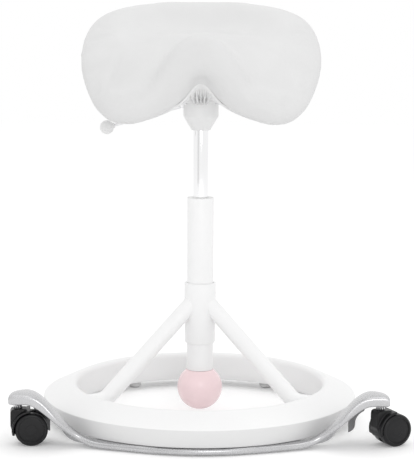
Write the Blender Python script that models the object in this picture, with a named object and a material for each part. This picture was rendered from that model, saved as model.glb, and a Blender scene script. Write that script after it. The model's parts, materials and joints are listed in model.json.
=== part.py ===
"""Balance stool: a saddle seat on a gas lift, a foot ring on three legs, a ball on a screw and a castor bar.

Metres, +Z up, the front towards -Y. The model stands on z = 0 with the middle of its box over the origin.
"""
import math

import bmesh
import bpy
from mathutils import Vector

# Fits
SEAT_GAP = 0.0003  # between pieces that are fixed to each other
RUN_GAP = 0.0003  # round a piece that turns or slides
SCREW_GAP = 0.0003  # round a screw's shank and head

# Sides of round pieces
TUBE_SIDES = 24  # the column, the collar and what nests in them
SHAFT_SIDES = 16  # rods, bushes and washers
PIN_SIDES = 12  # stems and axles
SCREW_SIDES = 8
FINE_SIDES = 64  # of the cut that fits the legs to the collar

# Foot ring
RING_RADIUS = 0.298
RING_WIDTH = 0.063
RING_BOTTOM = 0.014
RING_EDGE_HEIGHT = 0.046
RING_CREST_HEIGHT = 0.070
RING_CREST_ROUND = 0.010
RING_EDGE_ROUND = 0.0015
RING_INNER_LOW = 0.035  # where the inner wall turns under
RING_UNDERCUT = 0.005
RING_SIDES = 60

# Rubber glides under the ring's rear
GLIDE_RADIUS = 0.013
GLIDE_STEM_RADIUS = 0.005
GLIDE_STEM_LENGTH = 0.018
GLIDE_ANGLES = (150, 210)

# Hub collar and legs
HUB_RADIUS = 0.030
HUB_FOOT_RADIUS = 0.0285
HUB_BOTTOM = 0.144
HUB_TAPER_TOP = 0.225
HUB_TOP = 0.260
HUB_CHAMFER = 0.001
LEG_RADIUS = 0.0155
LEG_WALL = 0.0045
LEG_HUB_HEIGHT = 0.2105
LEG_LEVEL_RUN = 0.030  # from the knee to the ring
LEG_DROP = 0.0175  # of the foot's middle below the ring's crest
LEG_BEND_RADIUS = 0.035
LEG_ANGLES = {"leg_left": -60, "leg_right": 60, "leg_rear": 180}
LEG_SIDES = 12
PLUG_IN_LEG = 0.014
PLUG_IN_RING = 0.0205
GRUB_RADIUS = 0.004
GRUB_DROP = 0.017  # below the collar's top

# Screws
SCREW_RADIUS = 0.003
SCREW_HEAD_RADIUS = 0.006
SCREW_HEAD_HEIGHT = 0.004
SCREW_KEY_RADIUS = 0.0025
SCREW_KEY_DEPTH = 0.002
LEG_SCREW_BITE = 0.006
LEG_SCREW_INSET = 0.0085  # from the plug's end
BAR_SCREW_BITE = 0.024
BAR_SCREW_X = 0.097

# Column and gas lift
COLUMN_RADIUS = 0.025
COLUMN_WALL = 0.002
COLUMN_BOTTOM = 0.203
COLUMN_TOP = 0.423
BUSH_LENGTH = 0.070
END_PLATE_LIFT = 0.005
END_PLATE_THICKNESS = 0.005
BEARING_RADIUS = 0.0125
BEARING_HEIGHT = 0.005
WASHER_RADIUS = 0.011
WASHER_HEIGHT = 0.002
CLIP_RADIUS = 0.008
CLIP_HEIGHT = 0.0015
ROD_RADIUS = 0.005
ROD_TOP = 0.428
PISTON_BOTTOM = 0.415
PISTON_LENGTH = 0.020
CYLINDER_RADIUS = 0.014
CYLINDER_WALL = 0.002
CYLINDER_BOTTOM = 0.335
CYLINDER_IN_MOUNT = 0.033
CYLINDER_HEAD = 0.008
GLAND_LENGTH = 0.014
VALVE_RADIUS = 0.004
VALVE_RISE = 0.0077
VALVE_COLLAR_RADIUS = 0.007
VALVE_COLLAR_HEIGHT = 0.003
VALVE_TAIL = 0.004

# Ball foot: sleeve, nut, guide ring and ball on a fixed spindle
BALL_RADIUS = 0.043
BALL_CENTRE = 0.056
SLEEVE_WALL = 0.003
SLEEVE_FLOOR = 0.006
SLEEVE_DROP = 0.013  # of the sleeve's top below the column's foot
SLEEVE_NECK = 0.012
GUIDE_WALL = 0.0012
SLEEVE_NUT_LENGTH = 0.014
SLEEVE_NUT_FLANGE = 0.0027
SPINDLE_RADIUS = 0.008
SPINDLE_END = 0.112
SPINDLE_FLANGE = 0.005
INSERT_RADIUS = 0.020
INSERT_PLATE = 0.004
INSERT_SHANK_RADIUS = 0.006
INSERT_LIFT = 0.002  # above the ball's middle
INSERT_ABOVE_FLOOR = 0.004

# Castor bar: a cast bar under the ring's front with a swan neck up to a broad arm over each castor.
# Its places are counted sideways from where the arms cross the ring's edge, outwards positive.
BAR_CROSSING = 45  # degrees from the front
BAR_WIDTH = 0.043
BAR_THICKNESS = 0.012
BAR_ARM_WIDTH = 0.088
BAR_ARM_THICKNESS = 0.020
BAR_ARM_REAR_DROP = 0.008
BAR_EDGE_ROUND = 0.003
BAR_ARM_LIFT = 0.0122  # of the arms' underside above the castors' hoods
BAR_END_OUT = 0.1305
BAR_END_CORNER = 0.035  # length and depth of the rounded rear corner
BAR_END_CORNER_DEPTH = 0.060
BAR_END_ROUND = 0.005
BAR_NECK_START_OUT = -0.041
BAR_NECK_END_OUT = 0.097
BAR_NECK_POWER = 1.35
BAR_REAR_LAG = 0.036
BAR_ARM_LAG = 0.012
BAR_LAG_START_OUT = -0.0255
BAR_LAG_END_OUT = 0.0445
BAR_WIDEN_START_OUT = 0.0065
BAR_WIDEN_END_OUT = 0.0515
BAR_INSET = 0.0145  # of its middle from the ring's edge at the front
BAR_ARM_FORWARD = 0.0025  # of the arms' middle from the crossing
SKIRT_THICKNESS = 0.0035
SKIRT_GAP = 0.0006  # under the neck's twisted underside
SKIRT_START_OUT = 0.040
SKIRT_END_OUT = 0.090
SKIRT_LOW = 0.0145
SKIRT_HIGH = 0.0535
SKIRT_CORNER = 0.028  # top of the round at its lower outer corner
SKIRT_CLEAR = 0.0025  # from the castor's sweep

# Twin-wheel castors
CASTOR_INSET = 0.0135  # of the stem from the arm's end
CASTOR_FORWARD = 0.006  # of the stem from the arm's middle
CASTOR_YAW = {"left": 6.0, "right": 25.0}
CASTOR_TRAIL = 0.024
WHEEL_RADIUS = 0.030
WHEEL_WIDTH = 0.018
WHEEL_RIM = 0.006
WHEEL_SHOULDER = 0.0055  # round of the tread's outer edge
WHEEL_DISH = 0.0025
WHEEL_HUB_RADIUS = 0.009
WHEEL_SIDES = 20
AXLE_RADIUS = 0.004
AXLE_IN_WHEEL = 0.0145
HOOD_WEB = 0.007
HOOD_WEB_RADIUS = 0.022
HOOD_CLEARANCE = 0.0015
HOOD_WALL = 0.004
HOOD_FROM = 92
HOOD_TO = 196
HOOD_NECK_FRONT = (100, 94)  # degrees about the axle where the neck meets the fender
HOOD_NECK_BACK = (202, 190)
HOOD_BACK = 0.0135
HOOD_TOP_FRONT = 0.014
HOOD_RISE = 0.007  # above the wheels
HOOD_NECK_WIDTH = 0.026
HOOD_CORNER = 0.006
HOOD_SIDE_GAP = 0.0008
STEM_RADIUS = 0.0055
STEM_IN_HOOD = 0.014
SOCKET_WALL = 0.0025
SOCKET_FLANGE = 0.0015
SOCKET_FLANGE_RADIUS = 0.011
SOCKET_COVER = 0.003

# Seat mount
MOUNT_TOP = 0.612
MOUNT_HEIGHT = 0.061
MOUNT_NECK_RADIUS = 0.0175
MOUNT_RADIUS = 0.033
MOUNT_CONE_HEIGHT = 0.026
MOUNT_CAVITY_RADIUS = 0.027
PLATE_RADIUS = 0.058
PLATE_THICKNESS = 0.006
MOUNT_SCREW_CIRCLE = 0.046
MOUNT_SCREW_ANGLES = (45, 135, 225, 315)

# Release lever
LEVER_PIVOT_X = -0.022
LEVER_TIP_X = 0.002
LEVER_BLADE_END = -0.037
LEVER_BLADE_HEIGHT = 0.009
LEVER_BLADE_THICKNESS = 0.004
LEVER_SLOT_SIDE = 0.001
LEVER_SLOT_ROOM = 0.003
LEVER_PIN_RADIUS = 0.002
LEVER_PIN_LENGTH = 0.042
LEVER_ROD_RADIUS = 0.003
LEVER_KNOB_X = -0.177
LEVER_KNOB_DROP = 0.057  # below the mount's top
KNOB_RADIUS = 0.0132
KNOB_ROD_DEPTH = 0.010

# Seat: stations round the right half of the rim, front to rear, as
# (x, y, height of the rim's middle above the mount, half thickness, bolster above the saddle's slope)
SEAT_RIM = (
    (0.000, -0.160, 0.088, 0.040, 0.000),
    (0.050, -0.163, 0.052, 0.054, 0.000),
    (0.100, -0.166, 0.004, 0.032, 0.000),
    (0.148, -0.160, -0.011, 0.029, 0.000),
    (0.190, -0.126, -0.003, 0.025, 0.006),
    (0.224, -0.010, 0.064, 0.024, 0.028),
    (0.206, 0.112, 0.126, 0.024, 0.074),
    (0.112, 0.170, 0.151, 0.022, 0.066),
    (0.000, 0.180, 0.153, 0.021, 0.062),
)
SEAT_CENTRE_Y = 0.010
SEAT_CENTRE_RISE = 0.114  # above the mount
SEAT_EDGE_ROLL = 0.030
SEAT_BOLSTER_START = 0.45
SEAT_FALL_POWER = 2.6
SEAT_STEPS = 4  # columns between two rim stations
SEAT_TOP_SHARES = (0.18, 0.36, 0.52, 0.66, 0.78, 0.90)  # rows from the centre out to the rolled edge
SEAT_ROLL_ANGLES = (90, 58, 28, 0, -28, -58, -90)
PAN_HUB_MARGIN = 0.001  # flat left round the mount's plate
PAN_THICKNESS = 0.005
PAN_FIRST_SHARE = 0.66
PAN_REACH = 0.90
PAN_RISE_POWER = 1.6
PAN_RIBS = (-2, -1, 0, 1, 2)  # rim columns that carry a rib, counted from the front
PAN_RIB_THICKNESS = 0.003
PAN_RIB_DEPTH = 0.009
PAN_RIB_END_DEPTH = 0.002
PAN_RIB_START = 1.02  # of the hub's share
PAN_RIB_STOP = 0.97  # of the pan's reach

COLOURS = {
    "seat_cover": ((0.80, 0.80, 0.80), 0.9, 0.0),
    "seat_plastic": ((0.74, 0.74, 0.74), 0.6, 0.0),
    "white_lacquer": ((0.92, 0.92, 0.92), 0.35, 0.0),
    "ring_white": ((0.92, 0.92, 0.92), 0.35, 0.0),
    "chrome": ((0.86, 0.86, 0.87), 0.12, 1.0),
    "steel": ((0.55, 0.55, 0.56), 0.35, 1.0),
    "cast_aluminium": ((0.62, 0.62, 0.63), 0.38, 1.0),
    "dark_plate": ((0.12, 0.12, 0.125), 0.5, 0.0),
    "castor_black": ((0.025, 0.025, 0.027), 0.45, 0.0),
    "ball_pink": ((0.90, 0.60, 0.62), 0.4, 0.0),
    "nylon": ((0.78, 0.78, 0.76), 0.5, 0.0),
    "glide_rubber": ((0.10, 0.10, 0.10), 0.8, 0.0),
}


def clear_scene():
    for thing in list(bpy.data.objects):
        bpy.data.objects.remove(thing)


def finish_of(name):
    material = bpy.data.materials.get(name)
    if material is None:
        colour, roughness, metallic = COLOURS[name]
        material = bpy.data.materials.new(name)
        material.use_nodes = True
        shader = material.node_tree.nodes["Principled BSDF"]
        shader.inputs["Base Color"].default_value = (*colour, 1.0)
        shader.inputs["Roughness"].default_value = roughness
        shader.inputs["Metallic"].default_value = metallic
    return material


def empty(name, place, parent=None, turn=0.0):
    axis = bpy.data.objects.new(name, None)
    bpy.context.collection.objects.link(axis)
    axis.parent = parent
    axis.location = place
    axis.rotation_euler.z = turn
    return axis


def add_piece(name, mesh, finish, parent, place=(0, 0, 0), turn=(0, 0, 0)):
    piece = bpy.data.objects.new(name, mesh)
    bpy.context.collection.objects.link(piece)
    piece.parent = parent
    piece.location = place
    piece.rotation_euler = turn
    mesh.materials.clear()
    mesh.materials.append(finish_of(finish))
    mesh.shade_smooth()
    mesh.set_sharp_from_angle(angle=math.radians(35))
    return piece


def to_mesh(name, work):
    bmesh.ops.remove_doubles(work, verts=work.verts, dist=1e-6)
    bmesh.ops.recalc_face_normals(work, faces=work.faces)
    mesh = bpy.data.meshes.new(name)
    work.to_mesh(mesh)
    work.free()
    return mesh


def turned(name, outline, sides):
    """A solid turned about Z from (radius, height) points; an outline off the axis closes into a ring."""
    work = bmesh.new()
    points = [work.verts.new((radius, 0, height)) for radius, height in outline]
    edges = [work.edges.new(pair) for pair in zip(points, points[1:])]
    if outline[0][0] > 0 or outline[-1][0] > 0:
        edges.append(work.edges.new((points[-1], points[0])))
    bmesh.ops.spin(work, geom=points + edges, cent=(0, 0, 0), axis=(0, 0, 1), angle=2 * math.pi, steps=sides,
                   use_merge=True)
    return to_mesh(name, work)


def rod_mesh(name, radius, bottom, top, sides=SHAFT_SIDES):
    return turned(name, [(0, top), (radius, top), (radius, bottom), (0, bottom)], sides)


def ring_mesh(name, inner, outer, bottom, top, sides=TUBE_SIDES):
    return turned(name, [(inner, top), (outer, top), (outer, bottom), (inner, bottom)], sides)


def lofted(name, sections, cores=None):
    """A skin over closed sections, capped at both ends, or open through a core of matching inner sections."""
    work = bmesh.new()
    loops = [[work.verts.new(point) for point in section] for section in sections]
    inner = [[work.verts.new(point) for point in section] for section in cores or []]
    count = len(loops[0])
    for rows in (loops, inner):
        for near, far in zip(rows, rows[1:]):
            for k in range(count):
                work.faces.new((near[k - 1], near[k], far[k], far[k - 1]))
    for end in (0, -1):
        if cores:
            for k in range(count):
                work.faces.new((loops[end][k - 1], loops[end][k], inner[end][k], inner[end][k - 1]))
        else:
            work.faces.new(loops[end])
    return to_mesh(name, work)


def slab_mesh(name, outline, thickness):
    """An outline in X and Z given a thickness across Y."""
    half = thickness / 2
    return lofted(name, [[(x, y, z) for x, z in outline] for y in (-half, half)])


def cutter(name, mesh, parent, place=(0, 0, 0), turn=(0, 0, 0)):
    tool = bpy.data.objects.new(name, mesh)
    bpy.context.collection.objects.link(tool)
    tool.parent = parent
    tool.location = place
    tool.rotation_euler = turn
    tool.hide_render = True
    tool.display_type = "WIRE"
    return tool


def combine(piece, tool, operation="DIFFERENCE"):
    step = piece.modifiers.new(tool.name, "BOOLEAN")
    step.operation = operation
    step.solver = "EXACT"
    step.object = tool


def polar(radius, degrees, height=0.0):
    """A point at an angle from the front, counted towards the right."""
    angle = math.radians(degrees)
    return Vector((radius * math.sin(angle), -radius * math.cos(angle), height))


def facing(degrees):
    """Turns a piece modelled towards the front to an angle counted towards the right."""
    return (0, 0, math.radians(degrees))


def smooth(t):
    t = min(max(t, 0.0), 1.0)
    return t * t * (3 - 2 * t)


def screw_mesh(name, length):
    """A socket-headed screw with its head's underside at z = 0 and its shank upwards."""
    return turned(name, [
        (0, length), (SCREW_RADIUS, length), (SCREW_RADIUS, 0), (SCREW_HEAD_RADIUS, 0),
        (SCREW_HEAD_RADIUS, -SCREW_HEAD_HEIGHT), (SCREW_KEY_RADIUS, -SCREW_HEAD_HEIGHT),
        (SCREW_KEY_RADIUS, SCREW_KEY_DEPTH - SCREW_HEAD_HEIGHT), (0, SCREW_KEY_DEPTH - SCREW_HEAD_HEIGHT),
    ], SCREW_SIDES)


# Foot ring

RING_INNER_RADIUS = RING_RADIUS - RING_WIDTH
LEG_FOOT_HEIGHT = RING_CREST_HEIGHT - LEG_DROP
LEG_SCREW_RADIUS = RING_INNER_RADIUS + PLUG_IN_RING - LEG_SCREW_INSET
SCREW_RECESS = SCREW_HEAD_HEIGHT + 2 * SCREW_GAP
PLUG_RADIUS = LEG_RADIUS - LEG_WALL - SEAT_GAP
GLIDE_CIRCLE = (RING_RADIUS + RING_INNER_RADIUS + RING_UNDERCUT) / 2


def ring_outline():
    crest_r = RING_INNER_RADIUS + RING_CREST_ROUND
    crest_z = RING_CREST_HEIGHT - RING_CREST_ROUND
    slope = math.atan2(RING_CREST_HEIGHT - RING_EDGE_HEIGHT, RING_RADIUS - crest_r)
    points = [(RING_INNER_RADIUS + RING_UNDERCUT, RING_BOTTOM), (RING_INNER_RADIUS, RING_INNER_LOW)]
    steps = 4
    for k in range(steps + 1):
        angle = math.pi - (math.pi / 2 + slope) * k / steps
        points.append((crest_r + RING_CREST_ROUND * math.cos(angle),
                       crest_z + RING_CREST_ROUND * math.sin(angle)))
    points.append((RING_RADIUS - RING_EDGE_ROUND, RING_EDGE_HEIGHT))
    points.append((RING_RADIUS, RING_EDGE_HEIGHT - RING_EDGE_ROUND))
    points.append((RING_RADIUS, RING_BOTTOM + RING_EDGE_ROUND))
    points.append((RING_RADIUS - RING_EDGE_ROUND, RING_BOTTOM))
    return points


def add_foot_ring(stool):
    ring = add_piece("foot_ring", turned("foot_ring", ring_outline(), RING_SIDES), "ring_white", stool)
    bore = PLUG_RADIUS + SEAT_GAP
    for leg, angle in LEG_ANGLES.items():
        plug_hole = rod_mesh("plug_hole", bore, -LEG_RADIUS, PLUG_IN_RING + SEAT_GAP, LEG_SIDES)
        mouth = polar(RING_INNER_RADIUS, angle, LEG_FOOT_HEIGHT)
        outwards = (math.pi / 2, 0, math.radians(angle))
        combine(ring, cutter(f"{leg}_plug_hole", plug_hole, stool, mouth, outwards))
        add_screw_hole(ring, stool, f"{leg}_screw", polar(LEG_SCREW_RADIUS, angle), LEG_FOOT_HEIGHT,
                       RING_BOTTOM + SCREW_RECESS)
    for number, angle in enumerate(GLIDE_ANGLES, 1):
        hole = rod_mesh("glide_hole", GLIDE_STEM_RADIUS + SEAT_GAP, -RING_BOTTOM,
                        RING_BOTTOM + GLIDE_STEM_LENGTH + SEAT_GAP, PIN_SIDES)
        combine(ring, cutter(f"glide_hole_{number}", hole, stool, polar(GLIDE_CIRCLE, angle)))
    for side in (-1, 1):
        hole = rod_mesh("bar_screw_hole", SCREW_RADIUS + SCREW_GAP, -RING_BOTTOM,
                        RING_BOTTOM + BAR_SCREW_BITE + SCREW_GAP, SCREW_SIDES)
        place = bar_middle(side * BAR_SCREW_X).xy.to_3d()
        combine(ring, cutter(f"bar_screw_hole_{side}", hole, stool, place))
    return ring


def add_screw_hole(piece, parent, name, place, top, seat):
    """A stepped hole from below: the head's recess up to the seat, then the shank's clearance hole."""
    shank = SCREW_RADIUS + SCREW_GAP
    head = SCREW_HEAD_RADIUS + SCREW_GAP
    low = -RING_BOTTOM
    outline = [(0, top), (shank, top), (shank, seat), (head, seat), (head, low), (0, low)]
    off_grid = (0, 0, math.radians(7))
    hole = turned("screw_hole", outline, SCREW_SIDES)
    combine(piece, cutter(f"{name}_hole", hole, parent, place, off_grid))


def add_glides(stool):
    top = RING_BOTTOM - SEAT_GAP
    stem_top = RING_BOTTOM + GLIDE_STEM_LENGTH
    outline = [(0, stem_top), (GLIDE_STEM_RADIUS, stem_top), (GLIDE_STEM_RADIUS, top), (GLIDE_RADIUS, top),
               (GLIDE_RADIUS, top / 4), (GLIDE_RADIUS - top / 4, 0), (0, 0)]
    for side, angle in zip(("right", "left"), GLIDE_ANGLES):
        mesh = turned("glide", outline, PIN_SIDES)
        add_piece(f"glide_{side}", mesh, "glide_rubber", stool, polar(GLIDE_CIRCLE, angle))


# Hub collar, legs and column

LEG_KNEE_RADIUS = RING_INNER_RADIUS - LEG_LEVEL_RUN
GRUB_HEIGHT = HUB_TOP - GRUB_DROP
END_PLATE_BOTTOM = COLUMN_BOTTOM + END_PLATE_LIFT
END_PLATE_TOP = END_PLATE_BOTTOM + END_PLATE_THICKNESS
BEARING_BOTTOM = END_PLATE_TOP + SEAT_GAP
BEARING_TOP = BEARING_BOTTOM + BEARING_HEIGHT


def add_hub(stool):
    bore = COLUMN_RADIUS + SEAT_GAP
    outline = [(bore, HUB_TOP), (HUB_RADIUS - HUB_CHAMFER, HUB_TOP), (HUB_RADIUS, HUB_TOP - HUB_CHAMFER),
               (HUB_RADIUS, HUB_TAPER_TOP), (HUB_FOOT_RADIUS, HUB_BOTTOM), (bore, HUB_BOTTOM)]
    hub = add_piece("hub_collar", turned("hub_collar", outline, TUBE_SIDES), "white_lacquer", stool)
    reach = 2 * HUB_RADIUS
    hole = rod_mesh("grub_hole", GRUB_RADIUS + SCREW_GAP, 0, reach, PIN_SIDES)
    lying = (-math.pi / 2, 0, 0)
    combine(hub, cutter("grub_hole", hole, stool, (0, 0, GRUB_HEIGHT), lying))
    start = COLUMN_RADIUS + SEAT_GAP
    key_floor = HUB_RADIUS - SCREW_KEY_DEPTH
    outline = [(0, key_floor), (SCREW_KEY_RADIUS, key_floor), (SCREW_KEY_RADIUS, HUB_RADIUS),
               (GRUB_RADIUS, HUB_RADIUS), (GRUB_RADIUS, start), (0, start)]
    grub = turned("hub_grub_screw", outline, SCREW_SIDES)
    add_piece("hub_grub_screw", grub, "steel", stool, (0, 0, GRUB_HEIGHT), lying)


def leg_centreline():
    """(radius, height) points of a leg: straight from the hub, one bend, then level to the ring."""
    fall = math.atan2(LEG_HUB_HEIGHT - LEG_FOOT_HEIGHT, LEG_KNEE_RADIUS - HUB_RADIUS)
    tangent = LEG_BEND_RADIUS * math.tan(fall / 2)
    inside = HUB_RADIUS - 2 * LEG_RADIUS
    points = [(inside, LEG_HUB_HEIGHT + (HUB_RADIUS - inside) * math.tan(fall))]
    centre = (LEG_KNEE_RADIUS + tangent, LEG_FOOT_HEIGHT + LEG_BEND_RADIUS)
    steps = 5
    for k in range(steps + 1):
        angle = -math.pi / 2 - fall * (1 - k / steps)
        points.append((centre[0] + LEG_BEND_RADIUS * math.cos(angle),
                       centre[1] + LEG_BEND_RADIUS * math.sin(angle)))
    points.append((RING_INNER_RADIUS + LEG_RADIUS, LEG_FOOT_HEIGHT))
    return points


def circles_along(points, radius, sides):
    """Circles square to a line in the plane of -Y and Z, given as (distance, height) points."""
    sections = []
    for k, (distance, height) in enumerate(points):
        before = Vector(points[max(k - 1, 0)])
        after = Vector(points[min(k + 1, len(points) - 1)])
        along = (after - before).normalized()
        square = Vector((-along.y, along.x))
        section = []
        for n in range(sides):
            angle = 2 * math.pi * n / sides
            offset = square * radius * math.sin(angle)
            section.append((radius * math.cos(angle), -(distance + offset.x), height + offset.y))
        sections.append(section)
    return sections


def add_legs(stool):
    line = leg_centreline()
    tube = lofted("leg", circles_along(line, LEG_RADIUS, LEG_SIDES),
                  circles_along(line, LEG_RADIUS - LEG_WALL, LEG_SIDES))
    above = HUB_TOP + HUB_RADIUS
    hub_cut = [(0, above), (HUB_RADIUS + SEAT_GAP, above), (HUB_RADIUS + SEAT_GAP, HUB_TAPER_TOP),
               (HUB_FOOT_RADIUS + SEAT_GAP, HUB_BOTTOM), (0, HUB_BOTTOM)]
    hub_tool = cutter("leg_hub_cut", turned("leg_hub_cut", hub_cut, FINE_SIDES), stool)
    wall = RING_INNER_RADIUS - SEAT_GAP
    ring_cut = [(RING_RADIUS, LEG_HUB_HEIGHT), (RING_RADIUS, RING_BOTTOM),
                (wall + RING_UNDERCUT, RING_BOTTOM), (wall, RING_INNER_LOW), (wall, LEG_HUB_HEIGHT)]
    ring_tool = cutter("leg_ring_cut", turned("leg_ring_cut", ring_cut, RING_SIDES), stool)
    plug_start = RING_INNER_RADIUS - PLUG_IN_LEG
    plug_end = RING_INNER_RADIUS + PLUG_IN_RING
    for name, angle in LEG_ANGLES.items():
        leg = add_piece(name, tube.copy(), "white_lacquer", stool, turn=facing(angle))
        combine(leg, hub_tool)
        combine(leg, ring_tool)
        plug_rod = rod_mesh("leg_plug", PLUG_RADIUS, plug_start, plug_end, LEG_SIDES)
        plug = add_piece(f"{name}_plug", plug_rod, "steel", stool, (0, 0, LEG_FOOT_HEIGHT),
                         (math.pi / 2, 0, math.radians(angle)))
        place = polar(LEG_SCREW_RADIUS, angle)
        thread = rod_mesh("plug_thread", SCREW_RADIUS + SCREW_GAP, 0,
                          LEG_FOOT_HEIGHT - PLUG_RADIUS + LEG_SCREW_BITE + SCREW_GAP, SCREW_SIDES)
        combine(plug, cutter(f"{name}_plug_thread", thread, stool, place))
        seat = RING_BOTTOM + SCREW_RECESS - SCREW_GAP
        length = LEG_FOOT_HEIGHT - PLUG_RADIUS + LEG_SCREW_BITE - seat
        add_piece(f"{name}_screw", screw_mesh("leg_screw", length), "steel", stool,
                  place + Vector((0, 0, seat)))


def add_column(stool):
    bore = COLUMN_RADIUS - COLUMN_WALL
    tube = ring_mesh("column_tube", bore, COLUMN_RADIUS, COLUMN_BOTTOM, COLUMN_TOP)
    add_piece("column_tube", tube, "white_lacquer", stool)
    fitted = bore - SEAT_GAP
    bush = ring_mesh("column_bush", CYLINDER_RADIUS + RUN_GAP, fitted, COLUMN_TOP - BUSH_LENGTH, COLUMN_TOP)
    add_piece("column_bush", bush, "nylon", stool)
    hole = ROD_RADIUS + RUN_GAP
    plate = ring_mesh("column_end_plate", hole, fitted, END_PLATE_BOTTOM, END_PLATE_TOP, SHAFT_SIDES)
    add_piece("column_end_plate", plate, "steel", stool)
    bearing = ring_mesh("thrust_bearing", hole, BEARING_RADIUS, BEARING_BOTTOM, BEARING_TOP, SHAFT_SIDES)
    add_piece("thrust_bearing", bearing, "steel", stool)


# Gas lift: the rod turns in the column's end plate and the cylinder slides on it

WASHER_BOTTOM = BEARING_TOP + RUN_GAP
CLIP_TOP = END_PLATE_BOTTOM - RUN_GAP
ROD_BOTTOM = CLIP_TOP - CLIP_HEIGHT - CLIP_HEIGHT


def add_piston_rod(axis):
    add_piece("piston_rod", rod_mesh("piston_rod", ROD_RADIUS, ROD_BOTTOM, ROD_TOP), "chrome", axis)
    fitted = ROD_RADIUS + SEAT_GAP
    washer_top = WASHER_BOTTOM + WASHER_HEIGHT
    washer = ring_mesh("rod_washer", fitted, WASHER_RADIUS, WASHER_BOTTOM, washer_top, SHAFT_SIDES)
    add_piece("rod_washer", washer, "steel", axis)
    clip = ring_mesh("rod_clip", fitted, CLIP_RADIUS, CLIP_TOP - CLIP_HEIGHT, CLIP_TOP, PIN_SIDES)
    add_piece("rod_clip", clip, "steel", axis)
    radius = CYLINDER_RADIUS - CYLINDER_WALL - RUN_GAP
    top = PISTON_BOTTOM + PISTON_LENGTH
    roof = ROD_TOP + SEAT_GAP
    outline = [(0, top), (radius, top), (radius, PISTON_BOTTOM), (fitted, PISTON_BOTTOM), (fitted, roof),
               (0, roof)]
    add_piece("piston", turned("piston", outline, SHAFT_SIDES), "nylon", axis)


MOUNT_BOTTOM = MOUNT_TOP - MOUNT_HEIGHT
CYLINDER_TOP = MOUNT_BOTTOM + CYLINDER_IN_MOUNT
VALVE_TOP = CYLINDER_TOP + VALVE_RISE


def add_gas_cylinder(axis):
    bore = CYLINDER_RADIUS - CYLINDER_WALL
    head = CYLINDER_TOP - CYLINDER_HEAD
    hole = VALVE_RADIUS + RUN_GAP
    outline = [(hole, CYLINDER_TOP), (CYLINDER_RADIUS, CYLINDER_TOP), (CYLINDER_RADIUS, CYLINDER_BOTTOM),
               (bore, CYLINDER_BOTTOM), (bore, head), (hole, head)]
    add_piece("gas_cylinder", turned("gas_cylinder", outline, TUBE_SIDES), "chrome", axis)
    gland_top = CYLINDER_BOTTOM + GLAND_LENGTH
    gland = ring_mesh("cylinder_gland", ROD_RADIUS + RUN_GAP, bore - SEAT_GAP, CYLINDER_BOTTOM, gland_top,
                      SHAFT_SIDES)
    add_piece("cylinder_gland", gland, "nylon", axis)


def add_valve_pin(axis):
    collar_top = CYLINDER_TOP - CYLINDER_HEAD - RUN_GAP
    collar_bottom = collar_top - VALVE_COLLAR_HEIGHT
    tail = collar_bottom - VALVE_TAIL
    outline = [(0, VALVE_TOP), (VALVE_RADIUS, VALVE_TOP), (VALVE_RADIUS, collar_top),
               (VALVE_COLLAR_RADIUS, collar_top), (VALVE_COLLAR_RADIUS, collar_bottom),
               (VALVE_RADIUS, collar_bottom), (VALVE_RADIUS, tail), (0, tail)]
    add_piece("valve_pin", turned("valve_pin", outline, PIN_SIDES), "steel", axis)


# Ball foot: sleeve and ball turn on the spindle, and the guide ring travels with them without turning

SLEEVE_RADIUS = COLUMN_RADIUS + SEAT_GAP - RUN_GAP
SLEEVE_NECK_RADIUS = SLEEVE_RADIUS - GUIDE_WALL - RUN_GAP
SLEEVE_TOP = COLUMN_BOTTOM - SLEEVE_DROP
SLEEVE_BOTTOM = BALL_CENTRE + math.sqrt(BALL_RADIUS ** 2 - SLEEVE_RADIUS ** 2)
SLEEVE_BORE = SLEEVE_RADIUS - SLEEVE_WALL
INSERT_HEIGHT = BALL_CENTRE + INSERT_LIFT


def add_ball_spindle(stool):
    top = COLUMN_BOTTOM - SEAT_GAP
    rim = COLUMN_RADIUS
    outline = [(0, top), (rim, top), (rim, top - SPINDLE_FLANGE), (SPINDLE_RADIUS, top - SPINDLE_FLANGE),
               (SPINDLE_RADIUS, SPINDLE_END), (0, SPINDLE_END)]
    add_piece("ball_spindle", turned("ball_spindle", outline, SHAFT_SIDES), "steel", stool)


def add_guide_ring(axis):
    bottom = SLEEVE_TOP - SLEEVE_NECK + RUN_GAP
    guide = ring_mesh("guide_ring", SLEEVE_NECK_RADIUS + RUN_GAP, SLEEVE_RADIUS, bottom, SLEEVE_TOP)
    add_piece("guide_ring", guide, "nylon", axis)


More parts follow.
